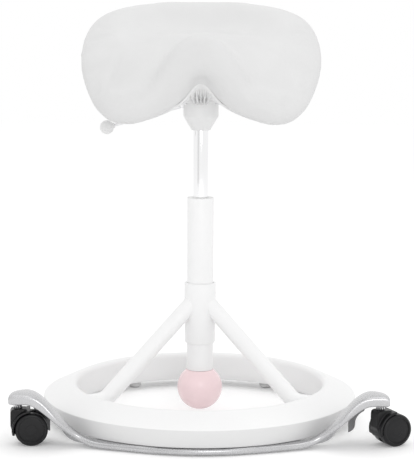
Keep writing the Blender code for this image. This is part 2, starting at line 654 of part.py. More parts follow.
def add_ball_foot(axis):
    floor = SLEEVE_BOTTOM + SLEEVE_FLOOR
    shoulder = SLEEVE_TOP - SLEEVE_NECK
    shank = INSERT_SHANK_RADIUS + SEAT_GAP
    outline = [(SLEEVE_BORE, SLEEVE_TOP), (SLEEVE_NECK_RADIUS, SLEEVE_TOP), (SLEEVE_NECK_RADIUS, shoulder),
               (SLEEVE_RADIUS, shoulder), (SLEEVE_RADIUS, SLEEVE_BOTTOM), (shank, SLEEVE_BOTTOM),
               (shank, floor), (SLEEVE_BORE, floor)]
    add_piece("ball_sleeve", turned("ball_sleeve", outline, TUBE_SIDES), "white_lacquer", axis)
    fitted = SLEEVE_BORE - SEAT_GAP
    under_flange = SLEEVE_TOP + RUN_GAP
    top = under_flange + SLEEVE_NUT_FLANGE
    bore = SPINDLE_RADIUS + RUN_GAP
    low = SLEEVE_TOP - SLEEVE_NUT_LENGTH
    outline = [(bore, top), (SLEEVE_NECK_RADIUS, top), (SLEEVE_NECK_RADIUS, under_flange),
               (fitted, under_flange), (fitted, low), (bore, low)]
    add_piece("sleeve_nut", turned("sleeve_nut", outline, SHAFT_SIDES), "steel", axis)
    add_piece("ball", turned("ball", ball_outline(), TUBE_SIDES), "ball_pink", axis)
    plate_top = INSERT_HEIGHT + INSERT_PLATE
    top = floor + INSERT_ABOVE_FLOOR
    outline = [(0, top), (INSERT_SHANK_RADIUS, top), (INSERT_SHANK_RADIUS, plate_top),
               (INSERT_RADIUS, plate_top), (INSERT_RADIUS, INSERT_HEIGHT), (0, INSERT_HEIGHT)]
    add_piece("ball_insert", turned("ball_insert", outline, PIN_SIDES), "steel", axis)


def ball_outline():
    """The ball, cut flat under the sleeve, with the pocket that its insert is moulded into."""
    steps = 11
    flat = SLEEVE_BOTTOM - SEAT_GAP
    start = math.asin((flat - BALL_CENTRE) / BALL_RADIUS)
    points = []
    for k in range(steps + 1):
        angle = start - (start + math.pi / 2) * k / steps
        points.append((BALL_RADIUS * math.cos(angle), BALL_CENTRE + BALL_RADIUS * math.sin(angle)))
    points[-1] = (0, BALL_CENTRE - BALL_RADIUS)
    shank = INSERT_SHANK_RADIUS + SEAT_GAP
    wide = INSERT_RADIUS + SEAT_GAP
    plate_top = INSERT_HEIGHT + INSERT_PLATE + SEAT_GAP
    floor = INSERT_HEIGHT - SEAT_GAP
    return [(0, floor), (wide, floor), (wide, plate_top), (shank, plate_top), (shank, flat)] + points


# Castor bar, its rear skirts and its screws

BAR_CROSSING_X = RING_RADIUS * math.sin(math.radians(BAR_CROSSING))
BAR_CROSSING_Y = -RING_RADIUS * math.cos(math.radians(BAR_CROSSING))
BAR_END = BAR_CROSSING_X + BAR_END_OUT
BAR_NECK_START = BAR_CROSSING_X + BAR_NECK_START_OUT
BAR_NECK_END = BAR_CROSSING_X + BAR_NECK_END_OUT
BAR_LAG_START = BAR_CROSSING_X + BAR_LAG_START_OUT
BAR_LAG_END = BAR_CROSSING_X + BAR_LAG_END_OUT
BAR_WIDEN_START = BAR_CROSSING_X + BAR_WIDEN_START_OUT
BAR_WIDEN_END = BAR_CROSSING_X + BAR_WIDEN_END_OUT
SKIRT_START = BAR_CROSSING_X + SKIRT_START_OUT
SKIRT_END = BAR_CROSSING_X + SKIRT_END_OUT
BAR_FRONT_RADIUS = RING_RADIUS - BAR_INSET
BAR_ARM_Y = BAR_CROSSING_Y - BAR_ARM_FORWARD
CASTOR_X = BAR_END - CASTOR_INSET
CASTOR_Y = BAR_ARM_Y - CASTOR_FORWARD
HOOD_TOP = 2 * WHEEL_RADIUS + HOOD_RISE
BAR_UNDERSIDE = HOOD_TOP + BAR_ARM_LIFT
BAR_ARM_TOP = BAR_UNDERSIDE + BAR_ARM_THICKNESS


def bar_plan(x):
    """The bar's middle line in plan: an arc under the ring that eases into arms parallel to X."""
    return -BAR_FRONT_RADIUS + (BAR_ARM_Y + BAR_FRONT_RADIUS) * smooth(abs(x) / BAR_NECK_END)


def bar_rise(x):
    share = max(abs(x) - BAR_NECK_START, 0) / (BAR_NECK_END - BAR_NECK_START)
    return smooth(share ** BAR_NECK_POWER)


def bar_thickness(x):
    return BAR_THICKNESS + (BAR_ARM_THICKNESS - BAR_THICKNESS) * smooth(2 * bar_rise(x) - 1)


def bar_half_width(x):
    widen = smooth((abs(x) - BAR_WIDEN_START) / (BAR_WIDEN_END - BAR_WIDEN_START))
    return (BAR_WIDTH + (BAR_ARM_WIDTH - BAR_WIDTH) * widen) / 2


def bar_middle(x):
    low = RING_BOTTOM - SEAT_GAP - BAR_THICKNESS / 2
    high = BAR_ARM_TOP - BAR_ARM_THICKNESS / 2
    return Vector((x, bar_plan(x), low + (high - low) * bar_rise(x)))


def bar_up(x):
    """The direction up from the bar's top face, square to the swan neck."""
    step = 0.001
    along = bar_middle(x + step) - bar_middle(x - step)
    return Vector((-along.z, 0, along.x)).normalized()


def bar_point(x, across, lift):
    """A point of the bar's section at x, across it towards the rear and up from its middle.

    The rear half lags outwards in the neck, because it passes under the ring for longer than the front does.
    """
    ease = smooth((abs(x) - BAR_LAG_START) / (BAR_LAG_END - BAR_LAG_START))
    lag = (BAR_REAR_LAG + (BAR_ARM_LAG - BAR_REAR_LAG) * ease) * smooth(abs(x) / BAR_NECK_START)
    lag *= 1 - smooth((abs(x) - BAR_LAG_END) / (BAR_END - BAR_LAG_END))
    shift = math.copysign(lag * max(across, 0) / bar_half_width(x), x)
    return bar_middle(x) + Vector((shift, across, 0)) + bar_up(x) * lift


def quarter_round(x, length):
    """From 0 where the last stretch before the bar's end starts to 1 at the end, as a quarter circle."""
    share = min(max(abs(x) - BAR_END + length, 0) / length, 1)
    return 1 - math.sqrt(1 - share ** 2)


def bar_section(x):
    front = -bar_half_width(x)
    rear = bar_half_width(x) - BAR_END_CORNER_DEPTH * quarter_round(x, BAR_END_CORNER)
    crest = min(0, (front + rear) / 2)
    round_off = BAR_END_ROUND * quarter_round(x, 2 * BAR_END_ROUND)
    low = round_off / 2 - bar_thickness(x) / 2
    high = bar_thickness(x) / 2 - round_off
    rear_high = high - BAR_ARM_REAR_DROP * bar_rise(x) * (rear - crest) / bar_half_width(x)
    edge = BAR_EDGE_ROUND
    outline = [(front, low + edge), (front, high - edge), (front + edge, high), (crest, high),
               (rear - edge, rear_high), (rear, rear_high - edge), (rear, low + edge / 2),
               (rear - edge / 2, low), (crest, low), (front + edge, low)]
    return [bar_point(x, across, lift) for across, lift in outline]


def bar_places():
    """Distances from the middle, closer together in the swan neck and at the rounded ends."""
    half = [BAR_NECK_START * k / 6 for k in range(6)]
    count = 11
    half += [BAR_NECK_START + (BAR_NECK_END - BAR_NECK_START) * k / count for k in range(count + 1)]
    half += [BAR_END - BAR_END_CORNER * (1 - math.sin(math.pi / 2 * k / 6)) for k in range(1, 7)]
    return [-x for x in reversed(half[1:])] + half


def add_castor_bar(stool):
    cast = lofted("castor_bar", [bar_section(x) for x in bar_places()])
    bar = add_piece("castor_bar", cast, "cast_aluminium", stool)
    socket = STEM_RADIUS + RUN_GAP + SOCKET_WALL
    bottom = RING_BOTTOM - SEAT_GAP - BAR_THICKNESS
    for side, sign in (("left", -1), ("right", 1)):
        stem = (sign * CASTOR_X, CASTOR_Y, 0)
        hole = rod_mesh("socket_hole", socket + SEAT_GAP, HOOD_TOP, BAR_ARM_TOP - SOCKET_COVER, PIN_SIDES)
        combine(bar, cutter(f"socket_hole_{side}", hole, stool, stem))
        place = bar_middle(sign * BAR_SCREW_X).xy.to_3d()
        seat = bottom + SCREW_RECESS
        add_screw_hole(bar, stool, f"bar_screw_{side}", place, RING_BOTTOM + SCREW_HEAD_HEIGHT, seat)
        screw_seat = seat - SCREW_GAP
        length = RING_BOTTOM + BAR_SCREW_BITE - screw_seat
        add_piece(f"bar_screw_{side}", screw_mesh("bar_screw", length), "steel", stool,
                  place + Vector((0, 0, screw_seat)))
        add_piece(f"arm_skirt_{side}", skirt_mesh(sign), "dark_plate", stool)
        bore = STEM_RADIUS + RUN_GAP
        low = BAR_UNDERSIDE - SEAT_GAP
        top = BAR_ARM_TOP - SOCKET_COVER - SEAT_GAP
        outline = [(bore, top), (socket, top), (socket, low), (SOCKET_FLANGE_RADIUS, low),
                   (SOCKET_FLANGE_RADIUS, low - SOCKET_FLANGE), (bore, low - SOCKET_FLANGE)]
        bush = turned("stem_socket", outline, PIN_SIDES)
        add_piece(f"stem_socket_{side}", bush, "castor_black", stool, stem)


def sweep_reach(height):
    """How far from its stem a castor's wheels reach at a height when it turns right round."""
    half = math.sqrt(max(WHEEL_RADIUS ** 2 - (height - WHEEL_RADIUS) ** 2, 0))
    return math.hypot(CASTOR_TRAIL + half, HOOD_WEB / 2 + HOOD_SIDE_GAP + WHEEL_WIDTH)


def skirt_edge(first, last):
    """The skirt's lower edge from its inner to its outer end: a round corner, then clear of the castor's sweep."""
    behind = (first.y + last.y) / 2 - CASTOR_Y

    def outer(height):
        return CASTOR_X - math.sqrt((sweep_reach(height) + SKIRT_CLEAR) ** 2 - behind ** 2)

    steps = 4
    edge = []
    for k in range(steps):
        angle = math.pi / 2 * k / steps
        edge.append((first.x + (outer(SKIRT_CORNER) - first.x) * math.sin(angle),
                     SKIRT_LOW + (SKIRT_CORNER - SKIRT_LOW) * (1 - math.cos(angle))))
    for k in range(steps + 1):
        height = SKIRT_CORNER + (SKIRT_HIGH - SKIRT_CORNER) * k / steps
        edge.append((min(outer(height), last.x), height))
    return [Vector((x, first.y + (last.y - first.y) * (x - first.x) / (last.x - first.x), z)) for x, z in edge]


def skirt_mesh(sign):
    """The plate that hangs from the rear edge of a swan neck, behind the castor's sweep."""
    faces = []
    for inset in (BAR_EDGE_ROUND, BAR_EDGE_ROUND + SKIRT_THICKNESS):
        upper = [bar_point(x, bar_half_width(x) - inset, -bar_thickness(x) / 2 - SKIRT_GAP)
                 for x in bar_places() if SKIRT_START <= x <= SKIRT_END]
        outline = upper + skirt_edge(upper[0], upper[-1])[::-1]
        faces.append([Vector((sign * point.x, point.y, point.z)) for point in outline])
    return lofted("arm_skirt", faces)


# Castors

def add_castor(side, stool):
    sign = -1 if side == "left" else 1
    axis = empty(f"castor_{side}_axis", (sign * CASTOR_X, CASTOR_Y, 0), stool, math.radians(CASTOR_YAW[side]))
    stem_bottom = HOOD_TOP - STEM_IN_HOOD
    stem_top = BAR_ARM_TOP - SOCKET_COVER - 4 * SEAT_GAP
    collar = STEM_RADIUS + SOCKET_WALL
    collar_low = HOOD_TOP + SEAT_GAP
    collar_top = BAR_UNDERSIDE - SOCKET_FLANGE - SEAT_GAP - RUN_GAP
    outline = [(0, stem_top), (STEM_RADIUS, stem_top), (STEM_RADIUS, collar_top), (collar, collar_top),
               (collar, collar_low), (STEM_RADIUS, collar_low), (STEM_RADIUS, stem_bottom), (0, stem_bottom)]
    add_piece(f"castor_stem_{side}", turned("castor_stem", outline, PIN_SIDES), "steel", axis)
    add_hood(side, axis)
    wheel_axis = empty(f"wheel_{side}_axis", (CASTOR_TRAIL, 0, WHEEL_RADIUS), axis)
    inner_face = HOOD_WEB / 2 + HOOD_SIDE_GAP
    reach = inner_face + AXLE_IN_WHEEL
    axle = rod_mesh("castor_axle", AXLE_RADIUS, -reach, reach, PIN_SIDES)
    add_piece(f"castor_axle_{side}", axle, "steel", wheel_axis, turn=(math.pi / 2, 0, 0))
    for face, turn in (("front", math.pi / 2), ("back", -math.pi / 2)):
        wheel = turned("castor_wheel", wheel_outline(inner_face), WHEEL_SIDES)
        add_piece(f"castor_wheel_{side}_{face}", wheel, "castor_black", wheel_axis, turn=(turn, 0, 0))


def wheel_outline(inner_face):
    """A wheel about Z, outer face upwards: a rim, a shallow dish and a blind bore from the inner face."""
    outer = inner_face + WHEEL_WIDTH
    bore = AXLE_RADIUS + RUN_GAP
    bore_end = inner_face + AXLE_IN_WHEEL + RUN_GAP
    rim = WHEEL_RADIUS - WHEEL_RIM
    lip = WHEEL_RIM / 3
    shoulder = []
    steps = 3
    for k in range(steps + 1):
        angle = math.pi / 2 * (1 - k / steps)
        shoulder.append((WHEEL_RADIUS - WHEEL_SHOULDER * (1 - math.cos(angle)),
                         outer - WHEEL_SHOULDER * (1 - math.sin(angle))))
    return [(0, outer - WHEEL_DISH / 2), (WHEEL_HUB_RADIUS, outer - WHEEL_DISH / 2),
            (WHEEL_HUB_RADIUS, outer - WHEEL_DISH), (rim - lip, outer - WHEEL_DISH), (rim, outer), *shoulder,
            (WHEEL_RADIUS, inner_face + lip / 2), (WHEEL_RADIUS - lip / 2, inner_face),
            (bore, inner_face), (bore, bore_end), (0, bore_end)]


def around_axle(radius, start, end, steps):
    """(x, height) points on an arc about the axle, in degrees from the trail's direction."""
    turns = [math.radians(start + (end - start) * k / steps) for k in range(steps + 1)]
    return [(CASTOR_TRAIL + radius * math.cos(a), WHEEL_RADIUS + radius * math.sin(a)) for a in turns]


def add_hood(side, axis):
    """A narrow block round the stem that runs down to the axle as a web, and a fender over both wheels."""
    inner = WHEEL_RADIUS + HOOD_CLEARANCE
    outer = inner + HOOD_WALL
    width = HOOD_WEB + 2 * HOOD_SIDE_GAP + 2 * WHEEL_WIDTH
    block = [(-HOOD_BACK, WHEEL_RADIUS + HOOD_CORNER), (-HOOD_BACK, HOOD_TOP - HOOD_CORNER),
             (HOOD_CORNER / 3 - HOOD_BACK, HOOD_TOP - HOOD_CORNER / 3), (HOOD_CORNER - HOOD_BACK, HOOD_TOP),
             (HOOD_TOP_FRONT, HOOD_TOP)]
    inside = outer - HOOD_WALL / 4
    neck = around_axle(inside, *HOOD_NECK_BACK, 2) + block + around_axle(inside, *HOOD_NECK_FRONT, 1)
    neck += around_axle(HOOD_WEB_RADIUS, HOOD_FROM, HOOD_TO - 360, 9)
    fender = around_axle(outer, HOOD_FROM, HOOD_TO, 10)
    fender += around_axle(inner - HOOD_CLEARANCE / 2, HOOD_TO, HOOD_FROM, 10)
    hood = add_piece(f"castor_hood_{side}", slab_mesh("castor_hood", fender, width), "castor_black", axis)
    combine(hood, cutter(f"hood_neck_{side}", slab_mesh("hood_neck", neck, HOOD_NECK_WIDTH), axis), "UNION")
    axle = (CASTOR_TRAIL, 0, WHEEL_RADIUS)
    for face in (-1, 1):
        room = rod_mesh("hood_wheel_room", inner, HOOD_WEB / 2, width, 2 * PIN_SIDES)
        combine(hood, cutter(f"hood_room_{side}_{face}", room, axis, axle, (face * math.pi / 2, 0, 0)))
    hole = rod_mesh("axle_hole", AXLE_RADIUS + SEAT_GAP, -width, width, PIN_SIDES)
    combine(hood, cutter(f"axle_hole_{side}", hole, axis, axle, (math.pi / 2, 0, 0)))
    stem_low = HOOD_TOP - STEM_IN_HOOD - SEAT_GAP
    stem_hole = rod_mesh("stem_hole", STEM_RADIUS + SEAT_GAP, stem_low, BAR_ARM_TOP, PIN_SIDES)
    combine(hood, cutter(f"stem_hole_{side}", stem_hole, axis))


# Seat mount and release lever

PAN_HUB_HEIGHT = MOUNT_TOP + SEAT_GAP
LEVER_HEIGHT = VALVE_TOP + RUN_GAP + LEVER_BLADE_HEIGHT / 2


def add_seat_mount(axis):
    plate_low = MOUNT_TOP - PLATE_THICKNESS
    bore = CYLINDER_RADIUS + SEAT_GAP
    cavity = CYLINDER_TOP + SEAT_GAP
    cone_top = MOUNT_BOTTOM + MOUNT_CONE_HEIGHT
    outline = [(MOUNT_CAVITY_RADIUS, MOUNT_TOP), (PLATE_RADIUS, MOUNT_TOP), (PLATE_RADIUS, plate_low),
               (MOUNT_RADIUS, plate_low), (MOUNT_RADIUS, cone_top), (MOUNT_NECK_RADIUS, MOUNT_BOTTOM),
               (bore, MOUNT_BOTTOM), (bore, cavity), (MOUNT_CAVITY_RADIUS, cavity)]
    mount = add_piece("seat_mount", turned("seat_mount", outline, TUBE_SIDES), "seat_plastic", axis)
    slot_half = LEVER_BLADE_THICKNESS / 2 + LEVER_SLOT_SIDE
    low = LEVER_HEIGHT - LEVER_BLADE_HEIGHT / 2 - LEVER_SLOT_ROOM
    high = LEVER_HEIGHT + LEVER_BLADE_HEIGHT / 2 + LEVER_SLOT_ROOM
    outline = [(-2 * MOUNT_RADIUS, low), (0, low), (0, high), (-2 * MOUNT_RADIUS, high)]
    slot = slab_mesh("lever_slot", outline, 2 * slot_half)
    combine(mount, cutter("lever_slot", slot, axis))
    reach = LEVER_PIN_LENGTH / 2 + MOUNT_RADIUS
    pin_hole = rod_mesh("pivot_hole", LEVER_PIN_RADIUS + SEAT_GAP, -reach, reach, SCREW_SIDES)
    lying = (math.pi / 2, 0, 0)
    combine(mount, cutter("pivot_hole", pin_hole, axis, (LEVER_PIVOT_X, 0, LEVER_HEIGHT), lying))
    half = LEVER_PIN_LENGTH / 2
    pin = rod_mesh("lever_pivot_pin", LEVER_PIN_RADIUS, -half, half, SCREW_SIDES)
    add_piece("lever_pivot_pin", pin, "steel", axis, (LEVER_PIVOT_X, 0, LEVER_HEIGHT), lying)
    for number, angle in enumerate(MOUNT_SCREW_ANGLES, 1):
        place = polar(MOUNT_SCREW_CIRCLE, angle)
        hole = rod_mesh("mount_screw_hole", SCREW_RADIUS + SCREW_GAP, MOUNT_BOTTOM,
                        MOUNT_TOP + PLATE_THICKNESS, SCREW_SIDES)
        combine(mount, cutter(f"mount_screw_hole_{number}", hole, axis, place))
        seat = plate_low - SCREW_GAP
        length = PAN_HUB_HEIGHT + PAN_THICKNESS - SCREW_GAP - seat
        add_piece(f"mount_screw_{number}", screw_mesh("mount_screw", length), "steel", axis,
                  place + Vector((0, 0, seat)))


def add_lever(axis):
    """The lever about its pivot: a blade over the valve, the rod and its knob."""
    low = -LEVER_BLADE_HEIGHT / 2
    high = LEVER_BLADE_HEIGHT / 2
    tip = LEVER_TIP_X - LEVER_PIVOT_X
    tail = LEVER_BLADE_END - LEVER_PIVOT_X
    bevel = LEVER_BLADE_HEIGHT / 3
    outline = [(tail, low), (tip, low), (tip, high - bevel), (tip - bevel, high), (tail, high)]
    blade = add_piece("lever_blade", slab_mesh("lever_blade", outline, LEVER_BLADE_THICKNESS), "steel", axis)
    hole = rod_mesh("blade_hole", LEVER_PIN_RADIUS + RUN_GAP, -LEVER_BLADE_HEIGHT, LEVER_BLADE_HEIGHT,
                    SCREW_SIDES)
    combine(blade, cutter("blade_hole", hole, axis, turn=(math.pi / 2, 0, 0)))
    start = Vector((tail - SEAT_GAP, 0, low + LEVER_ROD_RADIUS))
    end = Vector((LEVER_KNOB_X - LEVER_PIVOT_X, 0, MOUNT_TOP - LEVER_KNOB_DROP - LEVER_HEIGHT))
    run = end - start
    lean = (0, math.atan2(run.x, run.z), 0)
    lift = LEVER_ROD_RADIUS * abs(run.z) / run.length
    rod_end = run.length - KNOB_RADIUS + KNOB_ROD_DEPTH
    rod = rod_mesh("lever_rod", LEVER_ROD_RADIUS, lift, rod_end, PIN_SIDES)
    add_piece("lever_rod", rod, "steel", axis, start, lean)
    hole_end = rod_end + SEAT_GAP
    bore = LEVER_ROD_RADIUS + SEAT_GAP
    knob = turned("lever_knob", knob_outline(run.length, bore, hole_end), PIN_SIDES)
    add_piece("lever_knob", knob, "seat_plastic", axis, start, lean)


def knob_outline(centre, bore, hole_end):
    steps = 8
    first = math.asin(bore / KNOB_RADIUS)
    points = []
    for k in range(steps + 1):
        angle = first + (math.pi - first) * k / steps
        points.append((KNOB_RADIUS * math.sin(angle), centre - KNOB_RADIUS * math.cos(angle)))
    points[-1] = (0, centre + KNOB_RADIUS)
    return [(0, hole_end), (bore, hole_end)] + points


# Seat: cushion and pan on one set of rim stations

def seat_columns():
    """Rim values all the way round, right side from front to rear and back up the left."""
    half = [Vector(station) for station in SEAT_RIM]
    left = [Vector((-s[0], *s[1:])) for s in half[-2:0:-1]]
    ring = half + left
    count = len(ring)
    columns = []
    for k in range(count):
        a, b, c, d = (ring[(k + n) % count] for n in (-1, 0, 1, 2))
        for step in range(SEAT_STEPS):
            t = step / SEAT_STEPS
            columns.append(0.5 * ((2 * b) + (c - a) * t + (2 * a - 5 * b + 4 * c - d) * t * t
                                  + (3 * b - a - 3 * c + d) * t ** 3))
    return columns


class SeatColumn:
    """One radial slice of the seat, from its centre to a point on the rim."""

    def __init__(self, rim):
        x, y, rise, self.half, self.bolster = rim
        self.middle = MOUNT_TOP + rise
        self.rim = Vector((x, y))
        self.centre = Vector((0, SEAT_CENTRE_Y))
        self.length = (self.rim - self.centre).length
        self.flat = self.length - SEAT_EDGE_ROLL
        self.out = (self.rim - self.centre) / self.length
        self.hub = PAN_HUB_RADIUS / self.flat

    def at(self, distance, height):
        place = self.centre + self.out * distance
        return (place.x, place.y, height)

    def top(self, share):
        """Crown height at a share of the way out to where the edge rolls over."""
        saddle = self.middle + self.half - self.bolster - SEAT_CENTRE_HEIGHT
        lift = smooth((share - SEAT_BOLSTER_START) / (1 - SEAT_BOLSTER_START))
        height = SEAT_CENTRE_HEIGHT + saddle * share ** SEAT_FALL_POWER + self.bolster * lift
        return self.at(self.flat * share, height)

    def roll(self, angle):
        """Edge point from 90 degrees, on the top, through 0, at the rim, to -90, underneath."""
        a = math.radians(angle)
        return self.at(self.flat + SEAT_EDGE_ROLL * math.cos(a), self.middle + self.half * math.sin(a))

    def pan(self, share, offset):
        """Pan height under the cushion at the same shares, flat over the hub."""
        rise = max(share - self.hub, 0) / (1 - self.hub)
        edge = self.middle - self.half - PAN_HUB_HEIGHT - PAN_THICKNESS - SEAT_GAP
        return self.at(self.flat * share, PAN_HUB_HEIGHT + offset + edge * rise ** PAN_RISE_POWER)


SEAT_CENTRE_HEIGHT = MOUNT_TOP + SEAT_CENTRE_RISE
PAN_HUB_RADIUS = PLATE_RADIUS + abs(SEAT_CENTRE_Y) + PAN_HUB_MARGIN
PAN_SHARES = (PAN_FIRST_SHARE, (PAN_FIRST_SHARE + PAN_REACH) / 2, PAN_REACH)


def skin(name, columns, rows, first, last):
    """A closed skin from rings of points, each ring one row, between a first and a last single point.

    Each cell is split along its shorter diagonal, so that the cushion and the pan fold alike where they meet.
    """
    work = bmesh.new()
    loops = [[work.verts.new(row(column)) for column in columns] for row in rows]
    count = len(columns)
    for near, far in zip(loops, loops[1:]):
        for k in range(count):
            a, b, c, d = near[k - 1], near[k], far[k], far[k - 1]
            if (a.co - c.co).length > (b.co - d.co).length:
                a, b, c, d = b, c, d, a
            work.faces.new((a, b, c))
            work.faces.new((a, c, d))
    for loop, point in ((loops[0], first), (loops[-1], last)):
        pole = work.verts.new(point)
        for k in range(count):
            work.faces.new((loop[k - 1], loop[k], pole))
    return to_mesh(name, work)


def rib_mesh(column):
    """A tapering rib under the pan, from its flat hub out along one column."""
    first = PAN_RIB_START * column.hub
    shares = [first + (PAN_RIB_STOP * PAN_REACH - first) * k / 3 for k in range(4)]
    depths = [PAN_RIB_DEPTH + (PAN_RIB_END_DEPTH - PAN_RIB_DEPTH) * k / 3 for k in range(4)]
    side = Vector((-column.out.y, column.out.x, 0)) * PAN_RIB_THICKNESS / 2
    edge = [Vector(column.pan(s, PAN_THICKNESS / 2)) for s in shares]
    edge += [Vector(column.pan(s, -d)) for s, d in zip(shares[::-1], depths[::-1])]
    return lofted("pan_rib", [[point + side for point in edge], [point - side for point in edge]])


def add_seat(axis):
    columns = [SeatColumn(rim) for rim in seat_columns()]
    under = PAN_THICKNESS + SEAT_GAP
    rows = [lambda c, s=s: c.top(s) for s in SEAT_TOP_SHARES]
    rows += [lambda c, a=a: c.roll(a) for a in SEAT_ROLL_ANGLES]
    rows += [lambda c, s=s: c.pan(s, under) for s in PAN_SHARES[::-1]]
    rows.append(lambda c: c.pan(c.hub, under))
    centre_top = (0, SEAT_CENTRE_Y, SEAT_CENTRE_HEIGHT)
    centre_low = (0, SEAT_CENTRE_Y, PAN_HUB_HEIGHT + under)
    cushion = skin("seat_cushion", columns, rows, centre_top, centre_low)
    add_piece("seat_cushion", cushion, "seat_cover", axis)

    rows = [lambda c: c.pan(c.hub, PAN_THICKNESS)]
    rows += [lambda c, s=s: c.pan(s, PAN_THICKNESS) for s in PAN_SHARES]
    rows += [lambda c, s=s: c.pan(s, 0) for s in PAN_SHARES[::-1]]
    rows.append(lambda c: c.pan(c.hub, 0))
    pan_top = (0, SEAT_CENTRE_Y, PAN_HUB_HEIGHT + PAN_THICKNESS)
    pan_low = (0, SEAT_CENTRE_Y, PAN_HUB_HEIGHT)
    pan = skin("seat_shell", columns, rows, pan_top, pan_low)
    shell = add_piece("seat_shell", pan, "seat_plastic", axis)
    for number in PAN_RIBS:
        combine(shell, cutter(f"pan_rib_{number}", rib_mesh(columns[number]), axis), "UNION")
    for number, angle in enumerate(MOUNT_SCREW_ANGLES, 1):
        hole = rod_mesh("shell_screw_hole", SCREW_RADIUS + SCREW_GAP, MOUNT_BOTTOM,
                        PAN_HUB_HEIGHT + 2 * PAN_THICKNESS, SCREW_SIDES)
        combine(shell, cutter(f"shell_screw_hole_{number}", hole, axis, polar(MOUNT_SCREW_CIRCLE, angle)))


def bounds():
    """The lowest and highest corners of every solid that is part of the stool."""
    bpy.context.view_layer.update()
    graph = bpy.context.evaluated_depsgraph_get()
    corners = []
    for piece in bpy.data.objects:
        if piece.type == "MESH" and not piece.hide_render:
            shape = piece.evaluated_get(graph)
            corners += [shape.matrix_world @ Vector(vertex.co) for vertex in shape.data.vertices]
    return [[pick(c[k] for c in corners) for k in range(3)] for pick in (min, max)]


def main():
    clear_scene()
    stool = empty("stool", (0, 0, 0))
    add_foot_ring(stool)
    add_glides(stool)
    add_hub(stool)
    add_legs(stool)
    add_column(stool)
    add_ball_spindle(stool)
    add_castor_bar(stool)
    for side in CASTOR_YAW:
        add_castor(side, stool)
    swivel = empty("seat_axis", (0, 0, 0), stool)
    add_piston_rod(swivel)
    add_gas_cylinder(swivel)
    add_valve_pin(swivel)
    add_seat_mount(swivel)
    add_seat(swivel)
    add_lever(empty("lever_axis", (LEVER_PIVOT_X, 0, LEVER_HEIGHT), swivel))
    ball_axis = empty("ball_axis", (0, 0, 0), stool)
    add_guide_ring(ball_axis)
    add_ball_foot(ball_axis)
    low, high = bounds()
    stool.location = (-(low[0] + high[0]) / 2, -(low[1] + high[1]) / 2, -low[2])
    bpy.context.view_layer.update()


main()
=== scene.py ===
"""Looks of the balance stool, built round its packed construction.

Metres, in the construction's own frame: +Z up, the front towards -Y, the floor at z = 0.
"""
import json
import math

import bpy
from mathutils import Matrix, Vector


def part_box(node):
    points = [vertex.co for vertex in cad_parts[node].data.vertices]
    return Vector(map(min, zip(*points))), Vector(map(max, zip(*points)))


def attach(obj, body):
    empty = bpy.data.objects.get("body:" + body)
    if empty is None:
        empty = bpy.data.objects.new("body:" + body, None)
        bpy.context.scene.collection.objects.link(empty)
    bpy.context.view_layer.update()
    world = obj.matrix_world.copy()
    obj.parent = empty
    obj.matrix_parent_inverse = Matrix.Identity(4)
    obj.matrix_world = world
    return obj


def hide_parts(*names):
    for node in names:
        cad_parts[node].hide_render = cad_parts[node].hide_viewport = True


# Camera
CAMERA_PLACE = Vector((0.0125, -3.5, 0.888))  # from the column's foot
CAMERA_PITCH = math.radians(8.65)
CAMERA_ROLL = math.radians(0.3)
CAMERA_LENS = 144.31
CAMERA_SENSOR = 36

# All pieces
FIT_GAP = 0.0003
EDGE_SEGMENTS = 3
EDGE_ANGLE = math.radians(30)
SMOOTH_ANGLE = math.radians(32)
QUAD_ANGLE = math.radians(70)
MERGE_DISTANCE = 1e-5

# Saddle pad
PAD_VOXEL = 0.004
PAD_SMOOTHING = 6
PAD_STRETCH = 1.02  # gives back what the rounding takes off the sides
PAD_UNDERSIDE = -0.6  # height of the normal, below which the pad lies on its pan
PAD_PRESSURE = 4.0
PAD_BENDING = 10.0
PAD_FRAMES = 20
PAD_SWELL = 0.005  # the most that a point may move
PAD_EASING = 14  # takes the creases out of the blown-up skin

# Seat mount
PLATE_RADIUS = 0.058
PLATE_THICKNESS = 0.006
CUP_RADIUS = 0.033
CUP_BORE = 0.027
CUP_TAPER = 0.026
NECK_RADIUS = 0.0175
SOCKET_RADIUS = 0.0143
SOCKET_DEPTH = 0.0333
MOUNT_EDGE = 0.0012
SLOT_ROOM = Vector((0, 0.001, 0.003))  # round the lever's blade

# Release lever
ROD_SIDES = 32
ROD_RADIUS = 0.003
ROD_START = 0.001
ROD_IN_KNOB = 0.004
ROD_EDGE = 0.0005
KNOB_SIDES = 64
KNOB_STEPS = 24
KNOB_RADIUS = 0.0132
KNOB_NECK_RADIUS = 0.0052
KNOB_NECK_BORE = 0.0033
KNOB_NECK_LENGTH = 0.0015
KNOB_FROM = -66
KNOB_TO = 89

# Gas lift
CYLINDER_WALL = 0.002
CYLINDER_HEAD = 0.008
VALVE_BORE = 0.0043
CYLINDER_EDGE = 0.0006

# Column and hub
TUBE_SIDES = 96
COLUMN_RADIUS = 0.025
COLUMN_WALL = 0.002
COLUMN_EDGE = 0.0009
HUB_RADIUS = 0.030
HUB_FOOT_RADIUS = 0.0285
HUB_TAPER_TOP = 0.225
HUB_EDGE = 0.0011

# Legs
LEG_SIDES = 40
LEG_BEND_STEPS = 12
LEG_RADIUS = 0.0155
LEG_HUB_HEIGHT = 0.2105
LEG_KNEE_RADIUS = 0.205
LEG_FOOT_HEIGHT = 0.0525
LEG_BEND_RADIUS = 0.035
LEG_IN_HUB = 0.0015
LEG_IN_RING = 0.004
LEG_TURNS = {"leg_left": -60, "leg_right": 60, "leg_rear": 180}

